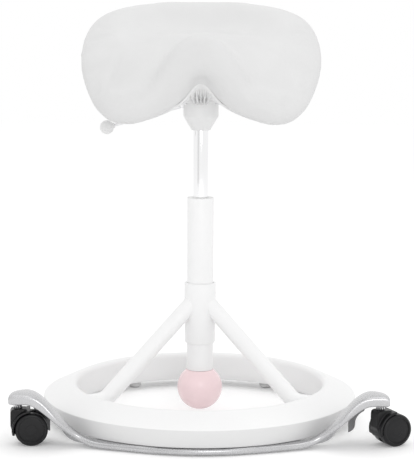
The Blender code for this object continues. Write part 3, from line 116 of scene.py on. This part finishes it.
# Foot ring
RING_SIDES = 180
RING_CREST_STEPS = 12
RING_RADIUS = 0.298
RING_INNER_RADIUS = 0.235
RING_BOTTOM = 0.014
RING_INNER_LOW = 0.035  # where the inner wall turns under
RING_UNDERCUT = 0.005
RING_EDGE_HEIGHT = 0.046
RING_CREST_HEIGHT = 0.070
RING_CREST_ROUND = 0.010
RING_EDGE = 0.002
RING_TOP_TONE = 0.90
# Painted shade: the outer wall's greyer tone stands for the shade on the side under light from above; the top tone
# is the ring's own white.
RING_SIDE_PAINTED_SHADE = 0.76
RING_PAINTED_SHADE_EDGE = 0.0005

# Ball foot
SLEEVE_WALL = 0.003
SLEEVE_NECK_STEP = 0.0015
SLEEVE_NECK_HEIGHT = 0.012
SLEEVE_EDGE = 0.0008
BALL_STEPS = 40
BALL_RADIUS = 0.043
BALL_BORE = 0.0063
BALL_BORE_DEPTH = 0.03
BALL_POLE = -89.2

# Castors
WHEEL_SIDES = 72
WHEEL_SHOULDER_STEPS = 8
WHEEL_RADIUS = 0.030
WHEEL_WIDTH = 0.018
WHEEL_BORE = 0.0045
WHEEL_CHAMFER = 0.0012
WHEEL_SHOULDER = 0.0055
WHEEL_GAP = 0.0043  # from the castor's middle to a wheel's inner face
# Radius and depth from the shoulder inwards: a groove, the dished web and the cap over the axle
WHEEL_FACE = (
    (0.0240, 0.0003), (0.0236, 0.0018), (0.0228, 0.0022), (0.0215, 0.0018), (0.0100, 0.0015),
    (0.0095, 0.0011), (0.0020, 0.0010),
)
HOOD_VOXEL = 0.0011
HOOD_SMOOTHING = 4

# Small pieces that keep their solids' shapes
SMALL_PIECES = (
    "seat_shell", "column_bush", "hub_grub_screw", "glide_left", "glide_right", "arm_skirt_left",
    "arm_skirt_right", "bar_screw_left", "bar_screw_right", "stem_socket_left", "stem_socket_right",
    "castor_stem_left", "castor_stem_right", "leg_left_screw", "leg_right_screw", "leg_rear_screw",
    "mount_screw_1", "mount_screw_2", "mount_screw_3", "mount_screw_4",
)

# Studio
WORLD_AROUND = 0.92
WORLD_SEEN = 1.0
FLOOR_SIZE = 12
FLOOR_HEIGHT = -0.0002
FLOOR_TONE = 0.93
FLOOR_GLOW = 0.14
LAMP_AIM = Vector((0, 0, 0.45))
LAMP_POWER = 14
FRONT_LAMP_PLACE = (0.5, -3.3, 1.4)
FRONT_LAMP_SIZE = (1.2, 1.4)
TOP_LAMP_PLACE = (0.3, 0.6, 3.4)
TOP_LAMP_SIZE = (2.6, 2.6)
CARD_PLACE = (-1.9, -2.4, 0.9)
CARD_TURN = math.radians(-40)
CARD_SIZE = (1.5, 2.4)
CARD_TONE = 0.80


# Hand tools

def deselect():
    bpy.ops.object.select_all(action="DESELECT")


def hold(piece):
    """Selects one piece alone and makes it active."""
    deselect()
    piece.select_set(True)
    bpy.context.view_layer.objects.active = piece


def apply_modifier(piece, kind, **settings):
    hold(piece)
    step = piece.modifiers.new(kind.lower(), kind)
    for name, value in settings.items():
        setattr(step, name, value)
    bpy.ops.object.modifier_apply(modifier=step.name)


def put(piece, matrix):
    """Moves a piece to its place and leaves the place in its mesh."""
    hold(piece)
    piece.matrix_world = matrix
    bpy.ops.object.transform_apply(location=True, rotation=True, scale=True)


def close_mesh(piece):
    """Merges doubled points and turns every face outwards."""
    hold(piece)
    bpy.ops.object.mode_set(mode="EDIT")
    bpy.ops.mesh.select_all(action="SELECT")
    bpy.ops.mesh.remove_doubles(threshold=MERGE_DISTANCE)
    bpy.ops.mesh.normals_make_consistent(inside=False)
    bpy.ops.object.mode_set(mode="OBJECT")


def square_up(piece):
    """Joins a piece's triangles into quads, so that a subdivision rounds it evenly."""
    hold(piece)
    bpy.ops.object.mode_set(mode="EDIT")
    bpy.ops.mesh.select_all(action="SELECT")
    bpy.ops.mesh.tris_convert_to_quads(face_threshold=QUAD_ANGLE, shape_threshold=QUAD_ANGLE)
    bpy.ops.object.mode_set(mode="OBJECT")


def turn(name, outline, sides, fill):
    """Draws a circle out from point to point of (radius, height), about Z."""
    deselect()
    radius, height = outline[0]
    bpy.ops.mesh.primitive_circle_add(vertices=sides, radius=radius, fill_type=fill, location=(0, 0, height))
    piece = bpy.context.object
    piece.name = name
    bpy.ops.object.mode_set(mode="EDIT")
    bpy.ops.mesh.select_all(action="SELECT")
    for next_radius, next_height in outline[1:]:
        bpy.ops.mesh.extrude_region_move(TRANSFORM_OT_translate={"value": (0, 0, next_height - height)})
        share = next_radius / radius
        bpy.ops.transform.resize(value=(share, share, 1))
        radius, height = next_radius, next_height
    bpy.ops.object.mode_set(mode="OBJECT")
    put(piece, piece.matrix_world)
    close_mesh(piece)
    return piece


def turn_solid(name, outline, sides=TUBE_SIDES):
    """A solid turned about Z, with a flat face at the first and the last point of its outline."""
    return turn(name, outline, sides, "NGON")


def turn_ring(name, outline, sides=TUBE_SIDES):
    """A hollow piece turned about Z, whose outline closes on itself."""
    return turn(name, outline + outline[:1], sides, "NOTHING")


def round_edges(piece, width):
    apply_modifier(piece, "BEVEL", width=width, segments=EDGE_SEGMENTS, limit_method="ANGLE",
                   angle_limit=EDGE_ANGLE)


def cut_box(piece, low, high):
    """Takes a box out of a piece."""
    deselect()
    bpy.ops.mesh.primitive_cube_add(size=1, location=(low + high) / 2, scale=high - low)
    tool = bpy.context.object
    apply_modifier(piece, "BOOLEAN", operation="DIFFERENCE", solver="EXACT", object=tool)
    bpy.data.objects.remove(tool)


def add_piece(name, mesh):
    """A separate piece with its own copy of a mesh."""
    piece = bpy.data.objects.new(name, mesh.copy())
    bpy.context.scene.collection.objects.link(piece)
    return piece


def copy_of(node, name):
    """A separate piece from a construction node's mesh, with its loose triangles joined."""
    piece = add_piece(name, nodes[node].data)
    close_mesh(piece)
    return piece


def dress(piece, *stands_for):
    """Gives a piece the finish of the nodes that it stands for, and lets it move with their body."""
    finish = slot_of[stands_for[0]]
    piece.data.materials.clear()
    piece.data.materials.append(finishes[finish])
    hold(piece)
    bpy.ops.object.shade_smooth_by_angle(angle=SMOOTH_ANGLE)
    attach(piece, body_of[stands_for[0]])
    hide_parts(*stands_for)


def arc(centre, radius, start, end, steps):
    """(radius, height) points on an arc, in degrees from outwards towards upwards."""
    turns = [math.radians(start + (end - start) * k / steps) for k in range(steps + 1)]
    return [(centre[0] + radius * math.cos(a), centre[1] + radius * math.sin(a)) for a in turns]


# Finishes

def grey(level):
    return (level, level, level)


def darker(colour, share):
    return tuple(part * share for part in colour)


def start_finish(name, colour, roughness, metallic=0.0):
    finish = bpy.data.materials.new(name)
    finish.use_nodes = True
    shader = finish.node_tree.nodes["Principled BSDF"]
    shader.inputs["Base Color"].default_value = (*colour, 1)
    shader.inputs["Roughness"].default_value = roughness
    shader.inputs["Metallic"].default_value = metallic
    return finish, shader


def add_node(finish, kind, **settings):
    node = finish.node_tree.nodes.new(kind)
    for name, value in settings.items():
        setattr(node, name, value)
    return node


def link(finish, start, end):
    finish.node_tree.links.new(start, end)


def object_space(finish, stretch=(1, 1, 1)):
    coordinates = add_node(finish, "ShaderNodeTexCoord")
    mapping = add_node(finish, "ShaderNodeMapping")
    mapping.inputs["Scale"].default_value = stretch
    link(finish, coordinates.outputs["Object"], mapping.inputs["Vector"])
    return mapping.outputs["Vector"]


def noise(finish, scale, detail, stretch=(1, 1, 1)):
    texture = add_node(finish, "ShaderNodeTexNoise")
    texture.inputs["Scale"].default_value = scale
    texture.inputs["Detail"].default_value = detail
    link(finish, object_space(finish, stretch), texture.inputs["Vector"])
    return texture.outputs["Fac"]


def cells(finish, scale):
    """Distance to the edges of small cells, as on grained leather."""
    texture = add_node(finish, "ShaderNodeTexVoronoi", feature="DISTANCE_TO_EDGE")
    texture.inputs["Scale"].default_value = scale
    link(finish, object_space(finish), texture.inputs["Vector"])
    return texture.outputs["Distance"]


def spread(finish, value, low, high, start=0.3, end=0.7):
    """Maps a texture's middle range to the given range."""
    node = add_node(finish, "ShaderNodeMapRange")
    node.inputs["From Min"].default_value = start
    node.inputs["From Max"].default_value = end
    node.inputs["To Min"].default_value = low
    node.inputs["To Max"].default_value = high
    link(finish, value, node.inputs["Value"])
    return node.outputs["Result"]


def tone(finish, shader, value, first, second):
    """Takes the colour from one tone to another as a value goes from 0 to 1."""
    mix = add_node(finish, "ShaderNodeMix", data_type="RGBA")
    colours = [socket for socket in mix.inputs if socket.type == "RGBA"]
    colours[0].default_value = (*first, 1)
    colours[1].default_value = (*second, 1)
    link(finish, value, mix.inputs["Factor"])
    output = next(socket for socket in mix.outputs if socket.type == "RGBA")
    link(finish, output, shader.inputs["Base Color"])


def mottle(finish, shader, scale, detail, first, second):
    """Soft patches between two tones."""
    tone(finish, shader, spread(finish, noise(finish, scale, detail), 0, 1), first, second)


def wear(finish, shader, scale, detail, low, high, stretch=(1, 1, 1)):
    """Varies the roughness between two values."""
    patches = spread(finish, noise(finish, scale, detail, stretch), low, high)
    link(finish, patches, shader.inputs["Roughness"])


def relief(finish, shader, height, strength, distance, under=None):
    bump = add_node(finish, "ShaderNodeBump")
    bump.inputs["Strength"].default_value = strength
    bump.inputs["Distance"].default_value = distance
    link(finish, height, bump.inputs["Height"])
    if under:
        link(finish, under, bump.inputs["Normal"])
    link(finish, bump.outputs["Normal"], shader.inputs["Normal"])
    return bump.outputs["Normal"]


def grained_leather():
    finish, shader = start_finish("seat_leather", grey(0.72), 0.6)
    mottle(finish, shader, 14, 4, grey(0.71), grey(0.735))
    wear(finish, shader, 420, 3, 0.52, 0.68)
    grain = spread(finish, cells(finish, 620), 0, 1, 0.0, 0.18)
    grained = relief(finish, shader, grain, 0.22, 0.0004)
    relief(finish, shader, noise(finish, 60, 3), 0.08, 0.002, grained)
    shader.inputs["Sheen Weight"].default_value = 0.15
    return finish


def moulded_plastic(name, colour, roughness, gloss=0.5):
    finish, shader = start_finish(name, colour, roughness)
    shader.inputs["Specular IOR Level"].default_value = gloss
    mottle(finish, shader, 22, 3, darker(colour, 0.96), colour)
    wear(finish, shader, 160, 2, roughness - 0.06, roughness + 0.06)
    relief(finish, shader, noise(finish, 1100, 1), 0.12, 0.0003)
    return finish


def ring_white_with_painted_side_shade():
    """White all over, with painted shade on the outer wall: the wall is made a little greyer than the top to stand
    for the shade it gets under light from above.
    """
    finish, shader = start_finish("ring_white", grey(RING_TOP_TONE), 0.34)
    from_axis = add_node(finish, "ShaderNodeVectorMath", operation="SUBTRACT")
    from_axis.inputs[1].default_value = on_column.translation
    link(finish, object_space(finish, (1, 1, 0)), from_axis.inputs[0])
    radius = add_node(finish, "ShaderNodeVectorMath", operation="LENGTH")
    link(finish, from_axis.outputs["Vector"], radius.inputs[0])
    wall_start = RING_RADIUS - 2 * RING_PAINTED_SHADE_EDGE
    # This mask marks the outer wall, where the shade is painted into the colour.
    wall = spread(finish, radius.outputs["Value"], 0, 1, wall_start, wall_start + RING_PAINTED_SHADE_EDGE)
    tone(finish, shader, wall, grey(RING_TOP_TONE), grey(RING_SIDE_PAINTED_SHADE))
    wear(finish, shader, 160, 2, 0.28, 0.40)
    relief(finish, shader, noise(finish, 1100, 1), 0.12, 0.0003)
    return finish


def powder_coat(name, colour, roughness):
    finish, shader = start_finish(name, colour, roughness)
    mottle(finish, shader, 9, 3, darker(colour, 0.985), colour)
    wear(finish, shader, 240, 2, roughness - 0.05, roughness + 0.05)
    relief(finish, shader, noise(finish, 850, 1), 0.06, 0.0003)
    return finish


def polished_chrome():
    """Fine scratches run along the cylinder."""
    finish, shader = start_finish("polished_chrome", (0.89, 0.89, 0.895), 0.1, 1.0)
    wear(finish, shader, 1, 3, 0.06, 0.14, (900, 900, 6))
    return finish


def machined_steel():
    finish, shader = start_finish("machined_steel", (0.80, 0.80, 0.81), 0.35, 1.0)
    wear(finish, shader, 700, 3, 0.28, 0.44)
    relief(finish, shader, noise(finish, 1500, 2), 0.05, 0.0002)
    return finish


def satin_casting():
    finish, shader = start_finish("satin_casting", (0.54, 0.54, 0.55), 0.30, 1.0)
    mottle(finish, shader, 30, 4, (0.52, 0.52, 0.53), (0.57, 0.57, 0.58))
    wear(finish, shader, 500, 3, 0.22, 0.34)
    relief(finish, shader, noise(finish, 1300, 2), 0.06, 0.0002)
    return finish


def satin_rubber(name, colour, roughness):
    finish, shader = start_finish(name, colour, roughness)
    mottle(finish, shader, 26, 3, darker(colour, 0.95), colour)
    wear(finish, shader, 300, 2, roughness - 0.06, roughness + 0.06)
    relief(finish, shader, noise(finish, 900, 2), 0.08, 0.0003)
    return finish


# Pieces

def make_saddle_pad():
    """The saddle's padding: the seat's solid, rounded off, then blown up like stuffed leather on its pan."""
    pad = copy_of("seat_cushion", "saddle_pad")
    square_up(pad)
    apply_modifier(pad, "SUBSURF", levels=2, render_levels=2)
    apply_modifier(pad, "REMESH", mode="VOXEL", voxel_size=PAD_VOXEL)
    apply_modifier(pad, "SMOOTH", factor=0.5, iterations=PAD_SMOOTHING)
    put(pad, on_column @ Matrix.Diagonal((PAD_STRETCH, 1, 1, 1)) @ on_column.inverted())
    underside = pad.vertex_groups.new(name="underside")
    underside.add([v.index for v in pad.data.vertices if v.normal.z < PAD_UNDERSIDE], 1.0, "REPLACE")
    blow_up(pad, underside)
    apply_modifier(pad, "SHRINKWRAP", target=nodes["seat_cushion"], wrap_method="NEAREST_SURFACEPOINT",
                   vertex_group=underside.name)
    pad.vertex_groups.clear()
    apply_modifier(pad, "SMOOTH", factor=0.5, iterations=PAD_EASING)
    apply_modifier(pad, "SUBSURF", levels=1, render_levels=1)
    dress(pad, "seat_cushion")


def blow_up(pad, held):
    """Lets pressure swell the pad, with the held points fixed and every other move capped."""
    start = [vertex.co.copy() for vertex in pad.data.vertices]
    cloth = pad.modifiers.new("stuffing", "CLOTH")
    cloth.settings.vertex_group_mass = held.name
    cloth.settings.use_pressure = True
    cloth.settings.uniform_pressure_force = PAD_PRESSURE
    cloth.settings.bending_stiffness = PAD_BENDING
    cloth.settings.effector_weights.gravity = 0
    cloth.collision_settings.use_collision = False
    scene = bpy.context.scene
    for frame_number in range(1, PAD_FRAMES + 1):
        scene.frame_set(frame_number)
    shaped = pad.evaluated_get(bpy.context.evaluated_depsgraph_get())
    moved = [vertex.co.copy() for vertex in shaped.data.vertices]
    pad.modifiers.remove(cloth)
    for vertex, before, after in zip(pad.data.vertices, start, moved):
        step = after - before
        vertex.co = before + step * min(1.0, PAD_SWELL / max(step.length, 1e-9))
    scene.frame_set(1)


def make_foot_ring():
    """A ring whose top slopes up from the outer edge to a rounded crest over the inner wall."""
    crest = (RING_INNER_RADIUS + RING_CREST_ROUND, RING_CREST_HEIGHT - RING_CREST_ROUND)
    slope = math.degrees(math.atan2(RING_CREST_HEIGHT - RING_EDGE_HEIGHT, RING_RADIUS - crest[0]))
    outline = [(RING_INNER_RADIUS + RING_UNDERCUT, RING_BOTTOM), (RING_INNER_RADIUS, RING_INNER_LOW)]
    outline += arc(crest, RING_CREST_ROUND, 180, 90 - slope, RING_CREST_STEPS)
    outline += [(RING_RADIUS, RING_EDGE_HEIGHT), (RING_RADIUS, RING_BOTTOM)]
    ring = turn_ring("foot_ring_coated", outline, RING_SIDES)
    round_edges(ring, RING_EDGE)
    put(ring, on_column)
    dress(ring, "foot_ring")


def make_column():
    """The fixed tube, and the hub on it, which narrows towards its foot."""
    low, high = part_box("column_tube")
    bore = COLUMN_RADIUS - COLUMN_WALL
    outline = [(bore, low.z), (COLUMN_RADIUS, low.z), (COLUMN_RADIUS, high.z), (bore, high.z)]
    tube = turn_ring("column_coated", outline)
    round_edges(tube, COLUMN_EDGE)
    put(tube, on_column)
    dress(tube, "column_tube")
    low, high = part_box("hub_collar")
    bore = COLUMN_RADIUS + FIT_GAP
    outline = [(bore, low.z), (HUB_FOOT_RADIUS, low.z), (HUB_RADIUS, HUB_TAPER_TOP), (HUB_RADIUS, high.z),
               (bore, high.z)]
    hub = turn_ring("hub_coated", outline)
    round_edges(hub, HUB_EDGE)
    put(hub, on_column)
    dress(hub, "hub_collar")


def make_legs():
    """A tube from the hub, bent once and levelled out into the ring, and its turned copies."""
    fall = math.atan2(LEG_HUB_HEIGHT - LEG_FOOT_HEIGHT, LEG_KNEE_RADIUS - HUB_RADIUS)
    along = Vector((0, -math.cos(fall), -math.sin(fall)))
    start = Vector((0, -HUB_RADIUS, LEG_HUB_HEIGHT)) - along * LEG_RADIUS * 2
    tangent = LEG_BEND_RADIUS * math.tan(fall / 2)
    bend_start = Vector((0, -LEG_KNEE_RADIUS, LEG_FOOT_HEIGHT)) - along * tangent
    bend_centre = Vector((0, -LEG_KNEE_RADIUS - tangent, LEG_FOOT_HEIGHT + LEG_BEND_RADIUS))
    deselect()
    bpy.ops.mesh.primitive_circle_add(vertices=LEG_SIDES, radius=LEG_RADIUS, fill_type="NGON",
                                      location=start, rotation=(math.pi / 2 + fall, 0, 0))
    leg = bpy.context.object
    leg.name = "leg_coated"
    bpy.ops.object.mode_set(mode="EDIT")
    bpy.ops.mesh.select_all(action="SELECT")
    bpy.ops.mesh.extrude_region_move(TRANSFORM_OT_translate={"value": bend_start - start})
    bpy.ops.mesh.spin(steps=LEG_BEND_STEPS, angle=fall, center=bend_centre, axis=(1, 0, 0))
    level = Vector((0, -RING_INNER_RADIUS - LEG_IN_RING - bend_centre.y, 0))
    bpy.ops.mesh.extrude_region_move(TRANSFORM_OT_translate={"value": level})
    bpy.ops.object.mode_set(mode="OBJECT")
    put(leg, leg.matrix_world)
    close_mesh(leg)
    core = HUB_RADIUS - LEG_IN_HUB
    hub_core = turn_solid("hub_core", [(core, 0), (core, 2 * LEG_HUB_HEIGHT)])
    apply_modifier(leg, "BOOLEAN", operation="DIFFERENCE", solver="EXACT", object=hub_core)
    bpy.data.objects.remove(hub_core)
    for node, degrees in LEG_TURNS.items():
        copy = add_piece(f"{node}_coated", leg.data)
        put(copy, on_column @ Matrix.Rotation(math.radians(degrees), 4, "Z"))
        dress(copy, node)
    bpy.data.objects.remove(leg)


def make_gas_lift():
    """The bright cylinder, open below, with a bore for the valve in its head."""
    low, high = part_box("gas_cylinder")
    radius = (high.x - low.x) / 2
    bore = radius - CYLINDER_WALL
    head = high.z - CYLINDER_HEAD
    outline = [(bore, low.z), (radius, low.z), (radius, high.z), (VALVE_BORE, high.z), (VALVE_BORE, head),
               (bore, head)]
    cylinder = turn_ring("gas_cylinder_polished", outline)
    round_edges(cylinder, CYLINDER_EDGE)
    put(cylinder, on_column)
    dress(cylinder, "gas_cylinder")


def make_ball_foot():
    """The sleeve with its narrower neck, and the ball with a bore from above."""
    low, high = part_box("ball_sleeve")
    radius = (high.x - low.x) / 2
    bore = radius - SLEEVE_WALL
    neck = radius - SLEEVE_NECK_STEP
    neck_foot = high.z - SLEEVE_NECK_HEIGHT
    outline = [(bore, low.z), (radius, low.z), (radius, neck_foot), (neck, neck_foot), (neck, high.z),
               (bore, high.z)]
    sleeve = turn_ring("ball_sleeve_coated", outline)
    round_edges(sleeve, SLEEVE_EDGE)
    put(sleeve, on_column)
    dress(sleeve, "ball_sleeve")
    low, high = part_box("ball")
    centre = low.z + BALL_RADIUS
    top = math.degrees(math.asin((high.z - centre) / BALL_RADIUS))
    outline = [(BALL_BORE, high.z - BALL_BORE_DEPTH), (BALL_BORE, high.z)]
    outline += arc((0, centre), BALL_RADIUS, top, BALL_POLE, BALL_STEPS)
    ball = turn_solid("ball_moulded", outline)
    put(ball, on_column)
    dress(ball, "ball")


def make_seat_mount():
    """A plate, a cup and a tapered neck in one, with a slot at the side for the lever's blade."""
    low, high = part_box("seat_mount")
    plate_low = high.z - PLATE_THICKNESS
    socket_top = low.z + SOCKET_DEPTH
    outline = [(CUP_BORE, high.z), (PLATE_RADIUS, high.z), (PLATE_RADIUS, plate_low),
               (CUP_RADIUS, plate_low), (CUP_RADIUS, low.z + CUP_TAPER), (NECK_RADIUS, low.z),
               (SOCKET_RADIUS, low.z), (SOCKET_RADIUS, socket_top), (CUP_BORE, socket_top)]
    mount = turn_ring("seat_mount_moulded", outline)
    round_edges(mount, MOUNT_EDGE)
    put(mount, on_column)
    blade_low, blade_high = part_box("lever_blade")
    slot_low = blade_low - SLOT_ROOM
    slot_high = blade_high + SLOT_ROOM
    slot_low.x = low.x
    slot_high.x = on_column.translation.x
    cut_box(mount, slot_low, slot_high)
    dress(mount, "seat_mount")


def make_lever():
    """The rod from the blade to the knob, and the knob with its short neck."""
    blade_low, blade_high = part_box("lever_blade")
    knob_low, knob_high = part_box("lever_knob")
    centre = (knob_low + knob_high) / 2
    start = Vector((blade_low.x - FIT_GAP, centre.y, blade_low.z + ROD_RADIUS))
    run = centre - start
    reach = run.length
    lie = Matrix.Translation(start) @ run.to_track_quat("Z", "Y").to_matrix().to_4x4()
    outline = [(ROD_RADIUS, ROD_START), (ROD_RADIUS, reach - ROD_IN_KNOB)]
    rod = turn_solid("lever_rod_turned", outline, ROD_SIDES)
    round_edges(rod, ROD_EDGE)
    put(rod, lie)
    dress(rod, "lever_rod")
    neck_start = reach - KNOB_RADIUS - KNOB_NECK_LENGTH
    outline = [(KNOB_NECK_BORE, neck_start), (KNOB_NECK_RADIUS, neck_start)]
    outline += arc((0, reach), KNOB_RADIUS, KNOB_FROM, KNOB_TO, KNOB_STEPS)
    knob = turn_solid("lever_knob_moulded", outline, KNOB_SIDES)
    put(knob, lie)
    dress(knob, "lever_knob")


def make_castor_bar():
    """The casting keeps the solid's run and gets the soft edges of a sand-cast, tumbled bar."""
    bar = copy_of("castor_bar", "castor_bar_cast")
    square_up(bar)
    apply_modifier(bar, "SUBSURF", levels=2, render_levels=2)
    dress(bar, "castor_bar")


def make_castors():
    """Four wheels from one turned shape, and the two hoods with softened edges."""
    wheel = turn_solid("castor_wheel", wheel_outline(), WHEEL_SIDES)
    for joint in frame["joints"]:
        if not joint["child"].startswith("wheel_"):
            continue
        node = "castor_" + joint["child"]
        outwards = Vector(joint["axis"]) * (-1 if node.endswith("front") else 1)
        inner_face = Vector(joint["pos_m"]) + outwards * WHEEL_GAP
        copy = add_piece(f"{node}_moulded", wheel.data)
        put(copy, Matrix.Translation(inner_face) @ outwards.to_track_quat("Z", "Y").to_matrix().to_4x4())
        dress(copy, node)
    bpy.data.objects.remove(wheel)
    for side in ("left", "right"):
        hood = copy_of(f"castor_hood_{side}", f"castor_hood_{side}_moulded")
        apply_modifier(hood, "REMESH", mode="VOXEL", voxel_size=HOOD_VOXEL)
        apply_modifier(hood, "SMOOTH", factor=0.5, iterations=HOOD_SMOOTHING)
        dress(hood, f"castor_hood_{side}")


def wheel_outline():
    """A wheel from its inner face outwards: tread, a rounded shoulder, a groove and a dished face."""
    outline = [(WHEEL_BORE, 0), (WHEEL_RADIUS - WHEEL_CHAMFER, 0), (WHEEL_RADIUS, WHEEL_CHAMFER)]
    shoulder = (WHEEL_RADIUS - WHEEL_SHOULDER, WHEEL_WIDTH - WHEEL_SHOULDER)
    outline += arc(shoulder, WHEEL_SHOULDER, 0, 90, WHEEL_SHOULDER_STEPS)
    outline += [(radius, WHEEL_WIDTH - depth) for radius, depth in WHEEL_FACE]
    return outline


def finish_small_pieces():
    """Small turned and bent pieces keep their solids' shapes, with smooth shading."""
    for node in SMALL_PIECES:
        dress(copy_of(node, f"{node}_finished"), node)


# Studio

def seen_rays(tree):
    """1 for rays that show the background: from the camera, off metal or through glass."""
    path = tree.nodes.new("ShaderNodeLightPath")
    first = tree.nodes.new("ShaderNodeMath")
    first.operation = "MAXIMUM"
    second = tree.nodes.new("ShaderNodeMath")
    second.operation = "MAXIMUM"
    tree.links.new(path.outputs["Is Camera Ray"], first.inputs[0])
    tree.links.new(path.outputs["Is Glossy Ray"], first.inputs[1])
    tree.links.new(first.outputs[0], second.inputs[0])
    tree.links.new(path.outputs["Is Transmission Ray"], second.inputs[1])
    return second.outputs[0]


def bare_paint(name):
    """A material with nothing but its output."""
    paint = bpy.data.materials.new(name)
    paint.use_nodes = True
    paint.node_tree.nodes.remove(paint.node_tree.nodes["Principled BSDF"])
    return paint, paint.node_tree


def make_world():
    """Even white light all round, and plain white where the background is seen."""
    world = bpy.data.worlds.new("studio")
    bpy.context.scene.world = world
    world.use_nodes = True
    tree = world.node_tree
    around = tree.nodes["Background"]
    around.inputs["Color"].default_value = (*grey(1), 1)
    around.inputs["Strength"].default_value = WORLD_AROUND
    seen = tree.nodes.new("ShaderNodeBackground")
    seen.inputs["Color"].default_value = (*grey(1), 1)
    seen.inputs["Strength"].default_value = WORLD_SEEN
    mix = tree.nodes.new("ShaderNodeMixShader")
    tree.links.new(seen_rays(tree), mix.inputs["Fac"])
    tree.links.new(around.outputs[0], mix.inputs[1])
    tree.links.new(seen.outputs[0], mix.inputs[2])
    tree.links.new(mix.outputs[0], tree.nodes["World Output"].inputs["Surface"])


def make_floor():
    """A matt white floor that keeps the shadow, lifted a little where it is seen."""
    deselect()
    bpy.ops.mesh.primitive_plane_add(size=FLOOR_SIZE, location=(0, 0, FLOOR_HEIGHT))
    floor = bpy.context.object
    floor.name = "floor"
    paint, tree = bare_paint("floor_white")
    matt = tree.nodes.new("ShaderNodeBsdfDiffuse")
    matt.inputs["Color"].default_value = (*grey(FLOOR_TONE), 1)
    glow = tree.nodes.new("ShaderNodeEmission")
    glow.inputs["Color"].default_value = (*grey(1), 1)
    tree.links.new(seen_rays(tree), glow.inputs["Strength"])
    lift = tree.nodes.new("ShaderNodeMixShader")
    lift.inputs["Fac"].default_value = FLOOR_GLOW
    add = tree.nodes.new("ShaderNodeAddShader")
    tree.links.new(glow.outputs[0], lift.inputs[2])
    tree.links.new(matt.outputs[0], add.inputs[0])
    tree.links.new(lift.outputs[0], add.inputs[1])
    tree.links.new(add.outputs[0], tree.nodes["Material Output"].inputs["Surface"])
    floor.data.materials.append(paint)


def add_softbox(name, place, size):
    lamp = bpy.data.lights.new(name, "AREA")
    lamp.shape = "RECTANGLE"
    lamp.size, lamp.size_y = size
    lamp.energy = LAMP_POWER
    box = bpy.data.objects.new(name, lamp)
    bpy.context.scene.collection.objects.link(box)
    box.location = place
    box.rotation_euler = (LAMP_AIM - Vector(place)).to_track_quat("-Z", "Y").to_euler()
    box.visible_camera = False


def make_card():
    """A pale grey card to the left of the camera, which draws the darker stripe in the polished cylinder."""
    deselect()
    bpy.ops.mesh.primitive_plane_add(size=1, location=CARD_PLACE, rotation=(math.pi / 2, 0, CARD_TURN))
    card = bpy.context.object
    card.name = "grey_card"
    card.scale = (*CARD_SIZE, 1)
    paper, tree = bare_paint("grey_card")
    glow = tree.nodes.new("ShaderNodeEmission")
    glow.inputs["Color"].default_value = (*grey(CARD_TONE), 1)
    tree.links.new(glow.outputs[0], tree.nodes["Material Output"].inputs["Surface"])
    card.data.materials.append(paper)
    card.visible_camera = False
    card.visible_diffuse = False
    card.visible_shadow = False


def make_camera():
    lens = bpy.data.cameras.new("camera")
    lens.lens = CAMERA_LENS
    lens.sensor_width = CAMERA_SENSOR
    camera = bpy.data.objects.new("camera", lens)
    bpy.context.scene.collection.objects.link(camera)
    camera.location = on_column.translation + CAMERA_PLACE
    tilt = Matrix.Rotation(math.pi / 2 - CAMERA_PITCH, 4, "X")
    camera.rotation_euler = (tilt @ Matrix.Rotation(CAMERA_ROLL, 4, "Z")).to_euler()
    bpy.context.scene.camera = camera


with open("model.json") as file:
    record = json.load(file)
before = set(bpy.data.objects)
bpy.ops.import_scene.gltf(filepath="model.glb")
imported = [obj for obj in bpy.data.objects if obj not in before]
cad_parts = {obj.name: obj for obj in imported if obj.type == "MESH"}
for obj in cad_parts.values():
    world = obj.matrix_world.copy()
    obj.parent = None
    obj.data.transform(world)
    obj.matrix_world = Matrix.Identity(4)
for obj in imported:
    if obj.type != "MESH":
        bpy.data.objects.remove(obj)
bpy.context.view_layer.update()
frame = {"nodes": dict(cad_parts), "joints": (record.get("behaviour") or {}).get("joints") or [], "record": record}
nodes = frame["nodes"]
bodies = frame["record"]["behaviour"]["bodies"]
body_of = {node: body for body, members in bodies.items() for node in members}
slot_of = {part["node"]: part["material_slot"] for part in frame["record"]["subparts"]}
column_low, column_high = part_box("column_tube")
on_column = Matrix.Translation(((column_low.x + column_high.x) / 2, (column_low.y + column_high.y) / 2, 0))

finishes = {
    "seat_cover": grained_leather(),
    "seat_plastic": moulded_plastic("seat_plastic", grey(0.82), 0.5),
    "white_lacquer": powder_coat("white_lacquer", grey(0.93), 0.36),
    "ring_white": ring_white_with_painted_side_shade(),
    "chrome": polished_chrome(),
    "steel": machined_steel(),
    "cast_aluminium": satin_casting(),
    # Painted shade: this dark grey on the arm skirts, a rear flange of the bar's casting, stands for the shade on
    # their inner faces under the arms.
    "dark_plate": powder_coat("dark_plate", (0.24, 0.24, 0.245), 0.45),
    "castor_black": moulded_plastic("castor_black", (0.010, 0.010, 0.011), 0.34, 0.3),
    "ball_pink": satin_rubber("ball_pink", (0.97, 0.76, 0.78), 0.20),
    "nylon": moulded_plastic("nylon", (0.92, 0.92, 0.91), 0.5),
    "glide_rubber": satin_rubber("glide_rubber", grey(0.80), 0.75),
}
for node, solid in nodes.items():
    solid.data.materials.clear()
    solid.data.materials.append(finishes[slot_of[node]])

make_saddle_pad()
make_foot_ring()
make_column()
make_legs()
make_gas_lift()
make_ball_foot()
make_seat_mount()
make_lever()
make_castor_bar()
make_castors()
finish_small_pieces()
make_world()
make_floor()
add_softbox("front_softbox", FRONT_LAMP_PLACE, FRONT_LAMP_SIZE)
add_softbox("top_softbox", TOP_LAMP_PLACE, TOP_LAMP_SIZE)
make_card()
make_camera()
bpy.context.scene.view_settings.view_transform = "Standard"
